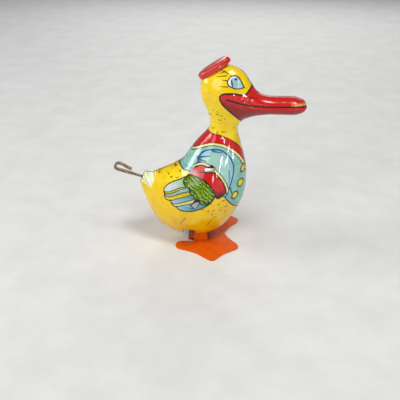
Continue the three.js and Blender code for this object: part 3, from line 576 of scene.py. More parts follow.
def wire(name, points, radius, sides=20, steps=6, ends=3, side=(0.3, 1.0, 0.2), power=1.0):
    """A wire on a smooth path, with rounded ends; power under 1 squares its section."""
    rows = smooth(points, steps)
    count = len(rows)
    sizes = np.broadcast_to(np.reshape(radius, (-1, 1)) if np.ndim(radius) < 2 else radius, (count, 2))
    powers = np.broadcast_to(power, count)
    along = np.gradient(rows, axis=0)
    along /= np.linalg.norm(along, axis=1, keepdims=True)
    normal = np.cross(along[0], side)
    angles = np.arange(sides) * 2 * math.pi / sides
    rings = []
    for row, direction, size, bend in zip(rows, along, sizes, powers):
        normal = normal - direction * (normal @ direction)
        normal /= np.linalg.norm(normal)
        u = np.sign(np.cos(angles)) * np.abs(np.cos(angles)) ** bend * size[0]
        v = np.sign(np.sin(angles)) * np.abs(np.sin(angles)) ** bend * size[1]
        rings.append((row, u[:, None] * normal + v[:, None] * np.cross(direction, normal)))
    points = []
    lifts = [math.sin(step * math.pi / 2 / (ends + 1)) for step in range(ends, 0, -1)]
    for lift in lifts:
        ring = rings[0][1] * math.sqrt(1 - lift * lift)
        points.append(rows[0] - along[0] * sizes[0][0] * lift * END_BULGE + ring)
    points += [center + ring for center, ring in rings]
    for lift in lifts[::-1]:
        ring = rings[-1][1] * math.sqrt(1 - lift * lift)
        points.append(rows[-1] + along[-1] * sizes[-1][0] * lift * END_BULGE + ring)
    loops = len(points)
    faces = [tuple(range(sides)), tuple(range((loops - 1) * sides, loops * sides))]
    for i in range(loops - 1):
        for j in range(sides):
            a, b = i * sides + j, i * sides + (j + 1) % sides
            faces.append((a, b, b + sides, a + sides))
    obj = make_object(name, np.concatenate(points), faces)
    face_out(obj)
    shade(obj, 60)
    return obj


def join_pieces(name, pieces):
    """Unites solids that touch or overlap into one mesh."""
    whole = pieces[0]
    for piece in pieces[1:]:
        modify(whole, "BOOLEAN", operation="UNION", object=piece, solver="MANIFOLD")
        bpy.data.objects.remove(piece)
    whole.name = name
    return whole


def settle(obj, node, body, material):
    if material is not None:
        obj.data.materials.clear()
        obj.data.materials.append(material)
    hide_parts(node)
    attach(obj, body)
    return obj


# ------------------------------------------------------------------ colours, as printed or as metal
YELLOW = srgb(246, 214, 0)
YELLOW_DEEP = srgb(222, 158, 0)
RED = srgb(206, 8, 6)
RED_DARK = srgb(122, 3, 8)
TEAL = srgb(120, 182, 170)
TEAL_PALE = srgb(160, 206, 194)
TEAL_DARK = srgb(70, 132, 140)
NAVY = srgb(16, 34, 62)
BLACK = srgb(14, 12, 10)
PEN = srgb(52, 40, 10)
CREAM = srgb(238, 226, 150)
GREEN = srgb(98, 142, 10)
GREEN_DEEP = srgb(60, 100, 8)
WHITE = srgb(232, 240, 234)


def speckle(paint, where, color, other, scale, low=0.42, high=0.62):
    """Blotches of another colour."""
    share = paint.ramp(paint.noise(where, scale, 5, 0.6), low, high)
    return paint.mix(share, color, other)


class Litho:
    """The printed skin: each layer is laid over the one before."""

    def __init__(self):
        self.paint = Paint("litho")
        self.where = self.paint.place()
        wobble = self.paint.noise(self.where, 0.5, 2)
        self.wobble = self.paint.math("MULTIPLY_ADD", wobble, 0.36, -0.18)
        self.color = speckle(self.paint, self.where, YELLOW, YELLOW_DEEP, 0.12, 0.40, 0.95)
        x, y, z = self.paint.parts(self.where)
        self.x, self.y, self.z = x, y, z
        self.flat = self.paint.vector(x, 0.0, z)

    def field(self, name):
        return self.paint.math("ADD", self.paint.attribute(name), self.wobble)

    def over(self, mask, fill):
        self.color = self.paint.mix(mask, self.color, fill)

    def fill(self, name, color, grow=0.0):
        field = self.field(name)
        self.over(self.paint.inside(field, grow), color)
        return field

    def edge(self, field, color=BLACK, half=0.16, at=0.0):
        self.over(self.paint.line(self.paint.math("SUBTRACT", field, at), half), color)

    def shaded(self, field, depth, near, far):
        """A colour that goes from near, at the edge of a field, to far inside it."""
        return self.paint.mix(self.paint.ramp(field, 0.0, -depth), near, far)

    def stroke(self, a, b, half, color=BLACK):
        """A pen stroke from a to b that thins towards b."""
        paint = self.paint
        start = paint.node("ShaderNodeVectorMath")
        start.operation = "SUBTRACT"
        paint.feed(start.inputs[0], self.flat)
        start.inputs[1].default_value = (a[0], 0, a[1])
        run = (b[0] - a[0], 0, b[1] - a[1])
        along = paint.node("ShaderNodeVectorMath")
        along.operation = "DOT_PRODUCT"
        paint.feed(along.inputs[0], start.outputs[0])
        along.inputs[1].default_value = run
        size = run[0] ** 2 + run[2] ** 2
        share = paint.math("DIVIDE", along.outputs["Value"], size, clamp=True)
        reach = paint.node("ShaderNodeVectorMath")
        reach.operation = "SCALE"
        reach.inputs[0].default_value = run
        paint.feed(reach.inputs["Scale"], share)
        gap = paint.node("ShaderNodeVectorMath")
        gap.operation = "DISTANCE"
        paint.feed(gap.inputs[0], start.outputs[0])
        paint.feed(gap.inputs[1], reach.outputs[0])
        width = paint.math("MULTIPLY_ADD", share, -0.6 * half, half)
        edge = paint.math("SUBTRACT", gap.outputs["Value"], width)
        self.over(paint.inside(edge, 0.0, 0.05), color)

    def oval(self, center, radii, lean=0.0):
        """Field of an oval: its value is about the distance in mm from the rim."""
        paint = self.paint
        node = paint.node("ShaderNodeMapping")
        node.vector_type = "TEXTURE"
        node.inputs["Location"].default_value = (center[0], 0, center[1])
        node.inputs["Rotation"].default_value = (0, math.radians(lean), 0)
        node.inputs["Scale"].default_value = (radii[0], 1, radii[1])
        paint.feed(node.inputs["Vector"], self.flat)
        size = paint.node("ShaderNodeVectorMath")
        size.operation = "LENGTH"
        paint.feed(size.inputs[0], node.outputs[0])
        return paint.math("MULTIPLY_ADD", size.outputs["Value"], min(radii), -min(radii))

    def scales(self, pitch, lean, curve, half, chance=1.0, reach=0.5):
        """Rows of small arcs; chance leaves some out and reach shortens them to ticks."""
        paint = self.paint
        node = paint.node("ShaderNodeMapping")
        node.vector_type = "TEXTURE"
        node.inputs["Rotation"].default_value = (0, math.radians(lean), 0)
        node.inputs["Scale"].default_value = (pitch[0], 1, pitch[1])
        bent = paint.node("ShaderNodeVectorMath")
        bent.operation = "ADD"
        paint.feed(bent.inputs[0], self.flat)
        sway = paint.math("MULTIPLY_ADD", paint.noise(self.where, 0.22, 2), 4.0, -2.0)
        paint.feed(bent.inputs[1], paint.vector(sway, 0.0, self.wobble))
        paint.feed(node.inputs["Vector"], bent.outputs[0])
        u, _, v = paint.parts(node.outputs[0])
        row = paint.math("FLOOR", v)
        shifted = paint.math("ADD", u, paint.math("MULTIPLY", row, 0.5))
        column = paint.math("FLOOR", shifted)
        across = paint.math("SUBTRACT", paint.math("SUBTRACT", shifted, column), 0.5)
        up = paint.math("SUBTRACT", v, row)
        if chance < 1:
            dice = paint.node("ShaderNodeTexWhiteNoise")
            dice.noise_dimensions = "2D"
            paint.feed(dice.inputs["Vector"], paint.vector(row, column, 0.0))
            luck, drift, rise = paint.parts(dice.outputs["Color"])
            across = paint.math("ADD", across, paint.math("MULTIPLY_ADD", drift, 0.4, -0.2))
            up = paint.math("ADD", up, paint.math("MULTIPLY_ADD", rise, 0.5, -0.35))
        square = paint.math("MULTIPLY", across, across)
        bow = paint.math("MULTIPLY_ADD", square, curve, 0.2)
        arc = paint.math("MULTIPLY", paint.math("SUBTRACT", up, bow), pitch[1])
        width = paint.math("MULTIPLY_ADD", square, -0.9 * half / reach ** 2, half)
        mask = paint.inside(paint.math("SUBTRACT", paint.math("ABSOLUTE", arc), width), 0.0, 0.06)
        if chance < 1:
            mask = paint.both(mask, paint.math("LESS_THAN", luck, chance))
        return mask, arc


def litho_material():
    art = Litho()
    paint = art.paint
    # Deeper yellow towards the bottom: partly the print's own tone, partly painted shade.
    art.over(paint.ramp(art.z, 38.0, 6.0, 0.0, 0.6), YELLOW_DEEP)
    print_body(art)
    print_wing(art)
    print_jacket(art)
    print_slot_shadow_and_dirt(art)
    print_head(art)
    # Dark band along the middle seam: the dark joint, widened with painted shade of the rolled seam edges.
    art.over(paint.both(paint.line(art.y, 0.5, 0.3), 0.9), srgb(44, 30, 8))
    worn = paint.noise(art.where, 1.6, 6, 0.7)
    tip = paint.ramp(art.x, 40.0, 42.0)
    bill_tip = paint.both(tip, paint.line(paint.math("SUBTRACT", art.z, 74.9), 0.5, 0.3))
    scuff = paint.both(paint.ramp(worn, 0.46, 0.52), bill_tip)
    art.over(scuff, srgb(226, 190, 96))
    flecks = paint.ramp(paint.noise(art.where, 2.6, 8, 0.75), 0.70, 0.76, 0.0, 0.55)
    art.over(flecks, srgb(120, 96, 40))
    grime = paint.ramp(paint.noise(art.where, 0.25, 6, 0.65), 0.5, 0.8, 0.0, 0.22)
    art.over(grime, srgb(130, 88, 10))
    dents = paint.noise(art.where, 0.09, 2)
    grain = paint.noise(art.where, 3.0, 3)
    normal = paint.bump(dents, 0.5, 0.5)
    normal = paint.bump(grain, 0.012, 0.5, normal)
    rough = paint.ramp(worn, 0.3, 0.8, 0.24, 0.5)
    return paint.finish(art.color, rough, 0.0, normal, Coat_Weight=0.75, Coat_Roughness=0.07, Coat_IOR=1.5,
                        Specular_IOR_Level=0.2)


def print_body(art):
    paint = art.paint
    tail = art.field("tail")
    lean = paint.math("MULTIPLY_ADD", art.z, 0.6, art.x)
    streak = paint.noise(paint.vector(lean, 0.0, paint.math("MULTIPLY", art.z, 0.12)), 1.1, 2)
    pale = paint.mix(paint.ramp(streak, 0.47, 0.58), srgb(244, 246, 222), srgb(196, 208, 110))
    art.over(paint.inside(tail, 0.0, 0.25), pale)
    for name, pitch, lean, chance in (("ticks", (2.8, 1.9), -18, 0.85), ("ticks_belly", (3.8, 2.2), -18, 0.9),
                                      ("ticks_neck", (2.6, 2.3), 0, 0.4)):
        mask, _ = art.scales(pitch, lean, 4.0, 0.24, chance, 0.32)
        art.over(paint.both(mask, paint.inside(paint.attribute(name))), PEN)
    for a, b in (((-10.9, 17.6), (-12.8, 14.9)), ((-12.8, 14.9), (-13.7, 12.2)), ((4.8, 18.3), (2.0, 16.4)),
                 ((2.0, 16.4), (-0.3, 11.8)), ((7.0, 61.4), (8.2, 60.9)), ((8.2, 60.9), (9.6, 61.3))):
        art.stroke(a, b, 0.2, PEN)


def print_wing(art):
    paint = art.paint
    root = paint.ramp(art.x, -19.0, -8.0)
    fills = (
        ("feather_7", srgb(176, 206, 208), srgb(84, 150, 166)),
        ("feather_6", CREAM, srgb(226, 206, 110)),
        ("feather_5", srgb(170, 208, 206), srgb(70, 148, 156)),
        ("feather_4", srgb(232, 200, 20), srgb(196, 160, 20)),
        ("feather_3", srgb(150, 176, 150), srgb(96, 182, 160)),
        ("feather_2", srgb(236, 204, 10), srgb(120, 160, 20)),
        ("feather_1", srgb(206, 214, 214), srgb(112, 172, 60)),
    )
    for name, tip, base in fills:
        field = art.fill(name, paint.mix(root, tip, base))
        vein = paint.noise(paint.place((160, 160, 1500), (0, -0.45, 0)), 1.0, 2)
        art.over(paint.both(paint.inside(field, -0.3), paint.ramp(vein, 0.6, 0.72, 0, 0.6)), WHITE)
        art.edge(field, srgb(30, 60, 30), 0.22)
    plume = paint.line(paint.math("SUBTRACT", art.field("plume"), 0.15), 0.26)
    art.over(paint.both(plume, paint.ramp(art.z, 31.5, 29.0)), BLACK)
    wing = art.field("green")
    art.over(paint.inside(wing), art.shaded(wing, 2.4, GREEN_DEEP, GREEN))
    mask, arc = art.scales((2.35, 1.75), 42, 2.7, 0.36, 0.999)
    light = paint.both(paint.both(paint.ramp(arc, 1.05, 0.5), paint.ramp(arc, 0.1, 0.3)), paint.inside(wing))
    art.over(light, srgb(176, 206, 22))
    art.over(paint.both(mask, paint.inside(wing)), srgb(16, 40, 4))
    art.edge(wing, BLACK, 0.32)


def print_jacket(art):
    paint = art.paint
    jacket = art.field("jacket")
    cloth = paint.mix(paint.ramp(paint.noise(art.where, 0.16, 3), 0.35, 0.7), TEAL, TEAL_PALE)
    cloth = paint.mix(paint.ramp(jacket, -1.4, 0.0, 0.0, 0.5), cloth, TEAL_DARK)
    art.over(paint.inside(jacket), cloth)
    art.edge(jacket, NAVY, 0.3)
    art.edge(jacket, srgb(76, 132, 136), 0.16, -1.7)
    sleeve = art.field("sleeve")
    inner = paint.mix(paint.ramp(sleeve, -2.2, -0.2, 0.0, 0.75), TEAL_PALE, TEAL_DARK)
    art.over(paint.inside(sleeve), inner)
    art.edge(sleeve, srgb(140, 196, 222), 0.7, -0.4)
    art.edge(sleeve, srgb(28, 72, 120), 0.34)
    for a, b, half in (((-4.6, 48.9), (1.8, 50.3), 0.5), ((-3.9, 47.2), (2.0, 46.0), 0.32),
                       ((-4.6, 48.2), (-0.4, 47.6), 0.5), ((2.4, 52.5), (7.4, 51.2), 0.36),
                       ((-10.6, 46.6), (-12.0, 45.0), 0.3), ((11.0, 42.0), (11.2, 36.0), 0.24),
                       ((11.6, 33.4), (13.0, 28.2), 0.42), ((12.6, 27.8), (14.2, 25.4), 0.4)):
        art.stroke(a, b, half, srgb(34, 84, 138))
    # Painted glare at the left end of the cuff: there its red turns pale pink and the cream piping and the
    # outlines fade out.
    outside_painted_glare = paint.ramp(paint.math("MULTIPLY_ADD", art.z, 0.6, art.x), 18.0, 21.5)
    piping = art.field("cuff_piping")
    art.over(paint.both(paint.inside(piping), outside_painted_glare), CREAM)
    art.over(paint.both(paint.line(paint.math("SUBTRACT", piping, 0.1), 0.2), outside_painted_glare), NAVY)
    cuff = art.field("cuff")
    red = paint.mix(paint.ramp(cuff, -0.1, -0.8), RED_DARK, RED)
    # The pale pink at the cuff's left end is the painted glare.
    art.over(paint.inside(cuff), paint.mix(outside_painted_glare, srgb(214, 170, 178), red))
    foot = paint.both(paint.ramp(art.z, 33.6, 30.4, 0.0, 0.95), paint.inside(cuff))
    art.over(foot, srgb(40, 8, 24))
    art.over(paint.both(paint.line(cuff, 0.28), outside_painted_glare), BLACK)
    collar = art.field("collar")
    piping = art.fill("collar_piping", CREAM)
    art.edge(piping, NAVY, 0.18)
    art.over(paint.inside(collar), art.shaded(collar, 1.0, srgb(176, 6, 6), RED))
    art.edge(collar, srgb(90, 10, 10), 0.14)
    for center, radii in BUTTONS:
        button = art.oval(center, radii, 12)
        gold = paint.mix(paint.ramp(button, -0.9, -0.1), srgb(238, 214, 20), srgb(196, 170, 20))
        art.over(paint.inside(button), gold)
        art.edge(button, srgb(30, 52, 40), 0.25)


def print_slot_shadow_and_dirt(art):
    """Black strokes round the tab slots: painted shadow in the gaps there, with dirt and bare black edges."""
    for a, b, half in (((2.4, 45.2), (2.7, 42.4), 0.9), ((2.4, 43.0), (-3.6, 42.4), 0.65),
                       ((2.0, 45.1), (-1.5, 45.3), 0.35), ((-4.6, 28.6), (-5.0, 25.6), 0.75),
                       ((-5.6, 28.2), (-8.0, 25.0), 0.6), ((-4.4, 26.2), (-7.4, 23.8), 0.65)):
        art.stroke(a, b, half)


def print_head(art):
    paint = art.paint
    face = art.field("face")
    mouth = art.field("mouth")
    under = paint.ramp(mouth, 0.2, -3.4, 0.0, 0.85)
    shine = paint.ramp(paint.noise(art.where, 0.2, 3), 0.3, 0.7, 0.0, 0.5)
    lips = paint.mix(under, paint.mix(shine, RED, srgb(222, 26, 22)), RED_DARK)
    art.over(paint.inside(face), lips)
    corner = paint.ramp(art.x, 8.4, 9.4)
    thick = paint.ramp(art.x, 9.0, 24.0, 0.62, 0.36)
    gap = paint.math("SUBTRACT", paint.math("ABSOLUTE", mouth), thick)
    art.over(paint.both(paint.inside(gap), corner), BLACK)
    art.edge(face, BLACK, 0.42)
    for a, b in (((19.8, 79.2), (23.6, 78.2)), ((16.6, 77.8), (17.4, 77.3)), ((20.0, 76.8), (20.8, 76.4))):
        art.stroke(a, b, 0.32, PEN)
    eye = art.field("eye")
    art.over(paint.inside(eye), paint.mix(paint.ramp(art.x, 11.5, 16.0), WHITE, srgb(158, 202, 204)))
    iris = art.oval((12.7, 86.0), (1.5, 2.5), -14)
    art.over(paint.both(paint.inside(iris), paint.inside(eye)), srgb(150, 186, 196))
    pupil = art.oval((11.5, 86.1), (0.42, 1.8), -12)
    art.over(paint.both(paint.inside(pupil), paint.inside(eye)), srgb(46, 70, 92))
    glint = art.oval((13.4, 87.8), (0.8, 0.5), 30)
    art.over(paint.inside(glint), srgb(30, 56, 72))
    art.edge(eye, srgb(40, 44, 26), 0.26)
    for a, b in (((9.6, 90.3), (6.2, 91.6)), ((8.8, 89.4), (4.2, 89.0)), ((9.7, 84.7), (5.2, 84.7)),
                 ((9.8, 85.4), (9.0, 86.8)), ((8.2, 91.2), (5.8, 90.2)), ((9.4, 87.4), (6.6, 87.6)),
                 ((16.9, 84.2), (18.1, 83.5))):
        art.stroke(a, b, 0.24, PEN)


def tin_inside_material():
    paint = Paint("tin_inside")
    where = paint.place()
    color = speckle(paint, where, srgb(196, 190, 172), srgb(150, 138, 112), 0.3)
    rough = paint.ramp(paint.noise(where, 1.4, 5), 0.3, 0.7, 0.28, 0.5)
    return paint.finish(color, rough, 1.0, paint.bump(paint.noise(where, 2.2, 4), 0.02, 0.4))


def enamel_material(name, color, deep, wear_and_sheen_color, wear_reach, gloss, coat, shine):
    """Enamel that wears through near the edges named by the rim attribute, and pales smoothly along them: a
    painted highlight on the cap's top rim, edge wear on the feet.
    """
    paint = Paint(name)
    where = paint.place()
    base = speckle(paint, where, color, deep, 0.22, 0.4, 0.75)
    rim = paint.attribute("rim")
    chips = paint.math("MULTIPLY_ADD", paint.noise(where, 1.9, 6, 0.7), 2.6, -1.3)
    edge = paint.math("ADD", rim, paint.math("MULTIPLY", chips, wear_reach))
    wear = paint.inside(edge, wear_reach * 0.25, wear_reach * 0.3)
    # Smooth pale blend within 1.6 mm of a rim: painted highlight along the cap's top rim, edge wear on the
    # feet's edges.
    base = paint.mix(paint.ramp(rim, 0.0, 1.6, 0.35, 0.0), base, wear_and_sheen_color)
    base = paint.mix(wear, base, wear_and_sheen_color)
    scratch = paint.noise(paint.place((300, 2600, 2600), (0.2, 0.1, 0.9)), 1.0, 4)
    base = paint.mix(paint.ramp(scratch, 0.68, 0.74, 0.0, 0.45), base, deep)
    normal = paint.bump(paint.noise(where, 0.35, 3), 0.05, 0.6)
    normal = paint.bump(paint.noise(where, 3.5, 3), 0.01, 0.4, normal)
    rough = paint.ramp(paint.noise(where, 0.9, 5), 0.3, 0.75, gloss, gloss + 0.2)
    return paint.finish(base, rough, 0.0, normal, Coat_Weight=coat, Coat_Roughness=0.12, Coat_IOR=1.5,
                        Specular_IOR_Level=shine)


def metal_material(name, color, stain, roughness, stretch=(1000, 1000, 1000), turn=(0, 0, 0), rust=0.62):
    paint = Paint(name)
    where = paint.place()
    brushed = paint.noise(paint.place(stretch, turn), 2.4, 4, 0.6)
    base = paint.mix(paint.ramp(brushed, 0.3, 0.7, 0.0, 0.35), color, stain)
    spots = paint.ramp(paint.noise(where, 0.9, 7, 0.7), rust, rust + 0.1)
    base = paint.mix(spots, base, stain)
    rough = paint.math("ADD", paint.ramp(brushed, 0.3, 0.7, roughness - 0.08, roughness + 0.1),
                       paint.math("MULTIPLY", spots, 0.25))
    metallic = paint.ramp(spots, 0.0, 1.0, 1.0, 0.45)
    return paint.finish(base, rough, metallic, paint.bump(brushed, 0.015, 0.5))


# ------------------------------------------------------------------ shells
OPENING = [(-12.5, -13), (-6.1, -13), (-6.1, -8.2), (3.0, -8.2), (3.0, 8.2), (-6.1, 8.2), (-6.1, 13),
           (-12.5, 13)]
REAR_PLATE_A = 19.2
FRONT_PLATE_A = 29.2
PLATE_END_A = REAR_PLATE_A + SHEET_T
TAB_GAP = 0.25
# Height on the front plate, skin half width there, outward normal, lay and length of each bent tab.
TABS = [
    (25.5, 13.75, (-0.1, 0.93, 0.36), (-1.0, 0.0, -0.05), 4.2),
    (6.9, 17.7, (-0.12, 0.99, 0.03), (-0.75, 0.0, -0.66), 2.8),
]
TAB_HALF = 1.1


def prism(outline, low, high, place):
    count = len(outline)
    points = [(*p, low) for p in outline] + [(*p, high) for p in outline]
    faces = [tuple(range(count)), tuple(range(2 * count - 1, count - 1, -1))]
    faces += [(i, (i + 1) % count, (i + 1) % count + count, i + count) for i in range(count)]
    return place(np.array(points, float)), faces


def stay(points):
    return points


def merged(solids):
    points, faces = [], []
    for solid_points, solid_faces in solids:
        shift = sum(len(p) for p in points)
        points.append(solid_points)
        faces += [tuple(v + shift for v in face) for face in solid_faces]
    return np.vstack(points), faces


def make_shell(node, side, litho, tin):
    shell = half_shell(node + "_tin", side)
    for material in (litho, tin):
        shell.data.materials.append(material)
    tools = [prism(OPENING, -2, 12, stay)]
    for v, skin, *_ in TABS:
        half = TAB_HALF + TAB_GAP
        slot = [(side * (skin - 4), v - half), (side * (skin + 2), v - half), (side * (skin + 2), v + half),
                (side * (skin - 4), v + half)]
        tools.append(prism(slot, FRONT_PLATE_A - TAB_GAP, FRONT_PLATE_A + SHEET_T + TAB_GAP, to_world))
    points, faces = merged(tools)
    tool = make_object("tool", points, faces)
    face_out(tool)
    for material in (litho, tin):
        tool.data.materials.append(material)
    tool.data.polygons.foreach_set("material_index", np.ones(len(faces), np.int32))
    modify(shell, "BOOLEAN", operation="DIFFERENCE", object=tool, solver="EXACT")
    bpy.data.objects.remove(tool)
    shade(shell, 50)
    store_fields(shell)
    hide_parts(node)
    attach(shell, "duck")


# ------------------------------------------------------------------ cap
CAP_AT = np.array([3.6, 0, 90.4])
CAP_TILT = math.radians(33.5)
CAP_R = 8.7
CAP_HALF_WIDTH = 5.2
CAP_H = 3.2


def in_cap(points):
    c, s = math.cos(CAP_TILT), math.sin(CAP_TILT)
    x, y, z = points.T
    turned = np.stack([x * c - z * s, y, x * s + z * c], 1)
    return CAP_AT + turned


def make_cap(material):
    wall = SHELL_T
    outer = [(0, CAP_H), (5.0, CAP_H - 0.05), (CAP_R - 0.8, CAP_H - 0.25), (CAP_R, CAP_H - 0.8),
             (CAP_R, 0), (0, 0)]
    inner = [(0, CAP_H - wall), (5.0, CAP_H - wall - 0.05), (CAP_R - 1.0, CAP_H - wall - 0.25),
             (CAP_R - wall, CAP_H - 1.2), (CAP_R - wall, -1), (0, -1)]
    cap = lathe("cap_pressing", outer, lambda p: in_cap(p * (1, CAP_HALF_WIDTH / CAP_R, 1)), 120, 0.5)
    narrow = (CAP_HALF_WIDTH - wall) / (CAP_R - wall)
    hollow = lathe("hollow", inner, lambda p: in_cap(p * (1, narrow, 1)), 120, 0.4)
    modify(cap, "BOOLEAN", operation="DIFFERENCE", object=hollow, solver="EXACT")
    bpy.data.objects.remove(hollow)
    skin, normal = skin_grids()
    grown = skin[::4, ::4] + normal[::4, ::4] * 0.12
    around = np.concatenate([grown, grown[:, -2:0:-1] * np.array([1, -1, 1])], 1)
    rows, count = around.shape[:2]
    faces = [tuple(range(count)), tuple(range(rows * count - 1, (rows - 1) * count - 1, -1))]
    for i in range(rows - 1):
        for j in range(count):
            a, b = i * count + j, i * count + (j + 1) % count
            faces.append((a, b, b + count, a + count))
    head = make_object("head_form", around.reshape(-1, 3), faces)
    face_out(head)
    modify(cap, "BOOLEAN", operation="DIFFERENCE", object=head, solver="EXACT")
    bpy.data.objects.remove(head)
    shade(cap, 40)
    coords = np.array([v.co for v in cap.data.vertices]) / MM - CAP_AT
    c, s = math.cos(CAP_TILT), math.sin(CAP_TILT)
    local_x = coords[:, 0] * c + coords[:, 2] * s
    local_z = -coords[:, 0] * s + coords[:, 2] * c
    radius = np.hypot(local_x, coords[:, 1] * CAP_R / CAP_HALF_WIDTH)
    # Distance to the top rim and the lower edge; the enamel pales along both: wear at the lower edge, painted
    # highlight along the top rim.
    rim = np.minimum(np.hypot(radius - CAP_R + 0.3, local_z - CAP_H + 0.2), np.abs(local_z) + 0.6)
    store(cap, "rim", rim)
    settle(cap, "cap", "duck", material)


def store(obj, name, values):
    layer = obj.data.attributes.new(name, "FLOAT", "POINT")
    layer.data.foreach_set("value", np.asarray(values, np.float32))


# ------------------------------------------------------------------ feet
FOOT = [(-7.0, 8.0), (-8.6, 9.9), (-12.8, 9.8), (-14.9, 10.7), (-16.0, 12.4), (-16.1, 14.6), (-15.2, 16.7),
        (-12.6, 18.2), (-8.4, 19.8), (-4.4, 22.4), (-0.9, 25.6), (1.4, 27.8), (3.0, 28.6), (4.6, 27.9),
        (6.4, 25.4), (9.6, 21.4), (14.6, 17.5), (16.2, 15.6), (16.3, 13.6), (15.2, 11.0), (12.6, 7.6),
        (10.4, 3.8), (9.2, 0)]
LEG = [(-7.0, 0.0), (0.4, 0.0), (0.4, 2.0), (-0.3, 6.0), (-0.2, 9.2), (-0.7, 11.3), (-2.0, 12.7),
       (-4.0, 12.7), (-5.4, 11.3), (-6.2, 8.8), (-6.8, 5.0)]
# WINDOW starts behind the sheet's rear edge. Given to sheet() as a hole, its part outside the outline is
# filled, which leaves a strip behind the legs that the CAD's feet don't have: a known fault, not a piece.
WINDOW = [(-10.0, -6.9), (-10.0, 6.9), (0.4, 6.9), (0.4, -6.9)]
LEG_Y = 6.9
PIN_R = 0.8
RIVET = (-4.9, 6.6)
RIVET_R = 0.7


def upright(points):
    """Local (x, z, y) to the duck's (x, y, z)."""
    return points[:, [0, 2, 1]]


def make_feet(material):
    outline = FOOT + [(x, -y) for x, y in FOOT[-2::-1]]
    outline = closed(outline, 5)
    plate = sheet("plate", outline, [WINDOW], 0, SHEET_T, stay, 0)
    legs = []
    for side in (1, -1):
        low, high = sorted((side * LEG_Y, side * (LEG_Y + SHEET_T)))
        pin = circle(HINGE[0], HINGE[2], PIN_R + 0.15, 32)
        rivet = circle(*RIVET, RIVET_R + 0.02, 24)
        leg_line = rounded(LEG, 0.8, 4)
        legs.append(sheet("leg", leg_line, [pin, rivet], low, high, upright, 0))
        legs.append(fillet(side))
    feet = join_pieces("feet_sheet", [plate, *legs])
    soften(feet, 0.12, 3, 50)
    shade(feet, 40)
    coords = np.array([v.co for v in feet.data.vertices]) / MM
    away = np.abs(signed_distance(coords[:, :2], outline))
    coords[:, 2] = np.maximum(coords[:, 2], 0.0)
    height = coords[:, 2]
    away[(height < 0.02) | (height > SHEET_T - 0.02)] = 3.0
    feet.data.vertices.foreach_set("co", (coords * MM).astype(np.float32).ravel())
    store(feet, "rim", away)
    settle(feet, "feet", "foot_assembly", material)


def fillet(side):
    """The rounded inner side of the bend between plate and leg."""
    reach = 0.9
    face = LEG_Y + SHEET_T
    arc = [(face + reach - reach * math.sin(t), SHEET_T + reach - reach * math.cos(t))
           for t in np.linspace(0, math.pi / 2, 7)]
    section = [(face - 0.2, SHEET_T - 0.2), (face + reach, SHEET_T - 0.2), *arc,
               (face - 0.2, SHEET_T + reach)]
    points, faces = prism([(side * y, z) for y, z in section], -6.9, 0.3, lambda p: p[:, [2, 0, 1]])
    obj = make_object("bend", points, faces)
    face_out(obj)
    return obj


# ------------------------------------------------------------------ key, arbor and spring
WIRE_R = 0.68
LOOP_R = 1.8
LOOP_A = -13.06
GRIP_PINCH = 1.2
GRIP_START_A = -5.0
GRIP_END_A = -6.6
SET_SLOPE = 0.14
GRIP_HALF_T = 0.55
GRIP_HALF_W = 1.15
ARBOR_R = 1.6
ARBOR_NOSE_R = 1.0
PIVOT_R = 0.5
SHAFT_R = 0.8
SECOND_AT = (7.0, -7.14)
KICK_AT = (0.0, -11.0)
PILLARS = (("pillar_top", 0, 10.6), ("pillar_left", 10.5, 3), ("pillar_right", -9.5, -6))


def make_key(material):
    """Round wire whose grip is hammered flat and bent back in a hairpin."""
    path = [(0, 0, a) for a in np.arange(24, 1, -1.5)]
    path += [(0, 0, a) for a in np.linspace(0.5, LOOP_A, 36)]
    for angle in np.linspace(0, math.pi, 25)[1:]:
        path.append((0, LOOP_R * (1 - math.cos(angle)), LOOP_A - LOOP_R * math.sin(angle)))
    for share in np.linspace(0, 1, 12)[1:]:
        drop = GRIP_PINCH * share * share * (3 - 2 * share)
        path.append((0, 2 * LOOP_R - drop, LOOP_A + share * (GRIP_END_A - LOOP_A)))
    path = np.array(path)
    path[:, 1] += SET_SLOPE * np.minimum(path[:, 2], 0)
    flat = np.clip((GRIP_START_A + 1 - path[:, 2]) / 1.6, 0, 1)
    flat[len(flat) // 2:] = 1
    flat = flat * flat * (3 - 2 * flat)
    sizes = np.stack([WIRE_R + (GRIP_HALF_T - WIRE_R) * flat, WIRE_R + (GRIP_HALF_W - WIRE_R) * flat], 1)
    key = wire("key_wire", to_world(path), sizes, 32, 1, 5, (0, 1, 0), 1 - 0.62 * flat)
    settle(key, "winding_key", "key_train", material)


def motor_lathe(name, profile, at=(0, 0), corner=0.12):
    return lathe(name, profile, lambda p: to_world(p + np.array([at[0], at[1], 0.0])), 48, corner)


def ribbon(name, line, thickness, low, high, place):
    """A strip on edge along a plane line."""
    line = np.array(line, float)
    along = np.gradient(line, axis=0)
    along /= np.linalg.norm(along, axis=1, keepdims=True)
    side = np.stack([-along[:, 1], along[:, 0]], 1) * thickness / 2
    points = []
    for p, s in zip(line, side):
        points += [(*(p + s), low), (*(p - s), low), (*(p - s), high), (*(p + s), high)]
    faces = [(0, 1, 2, 3), tuple(range(len(points) - 1, len(points) - 5, -1))]
    for i in range(len(line) - 1):
        a = 4 * i
        faces += [(a + k, a + 4 + k, a + 4 + (k + 1) % 4, a + (k + 1) % 4) for k in range(4)]
    obj = make_object(name, place(np.array(points)), faces)
    face_out(obj)
    shade(obj, 40)
    return obj


STRIP_T = 0.25
STRIP_W = 4.2


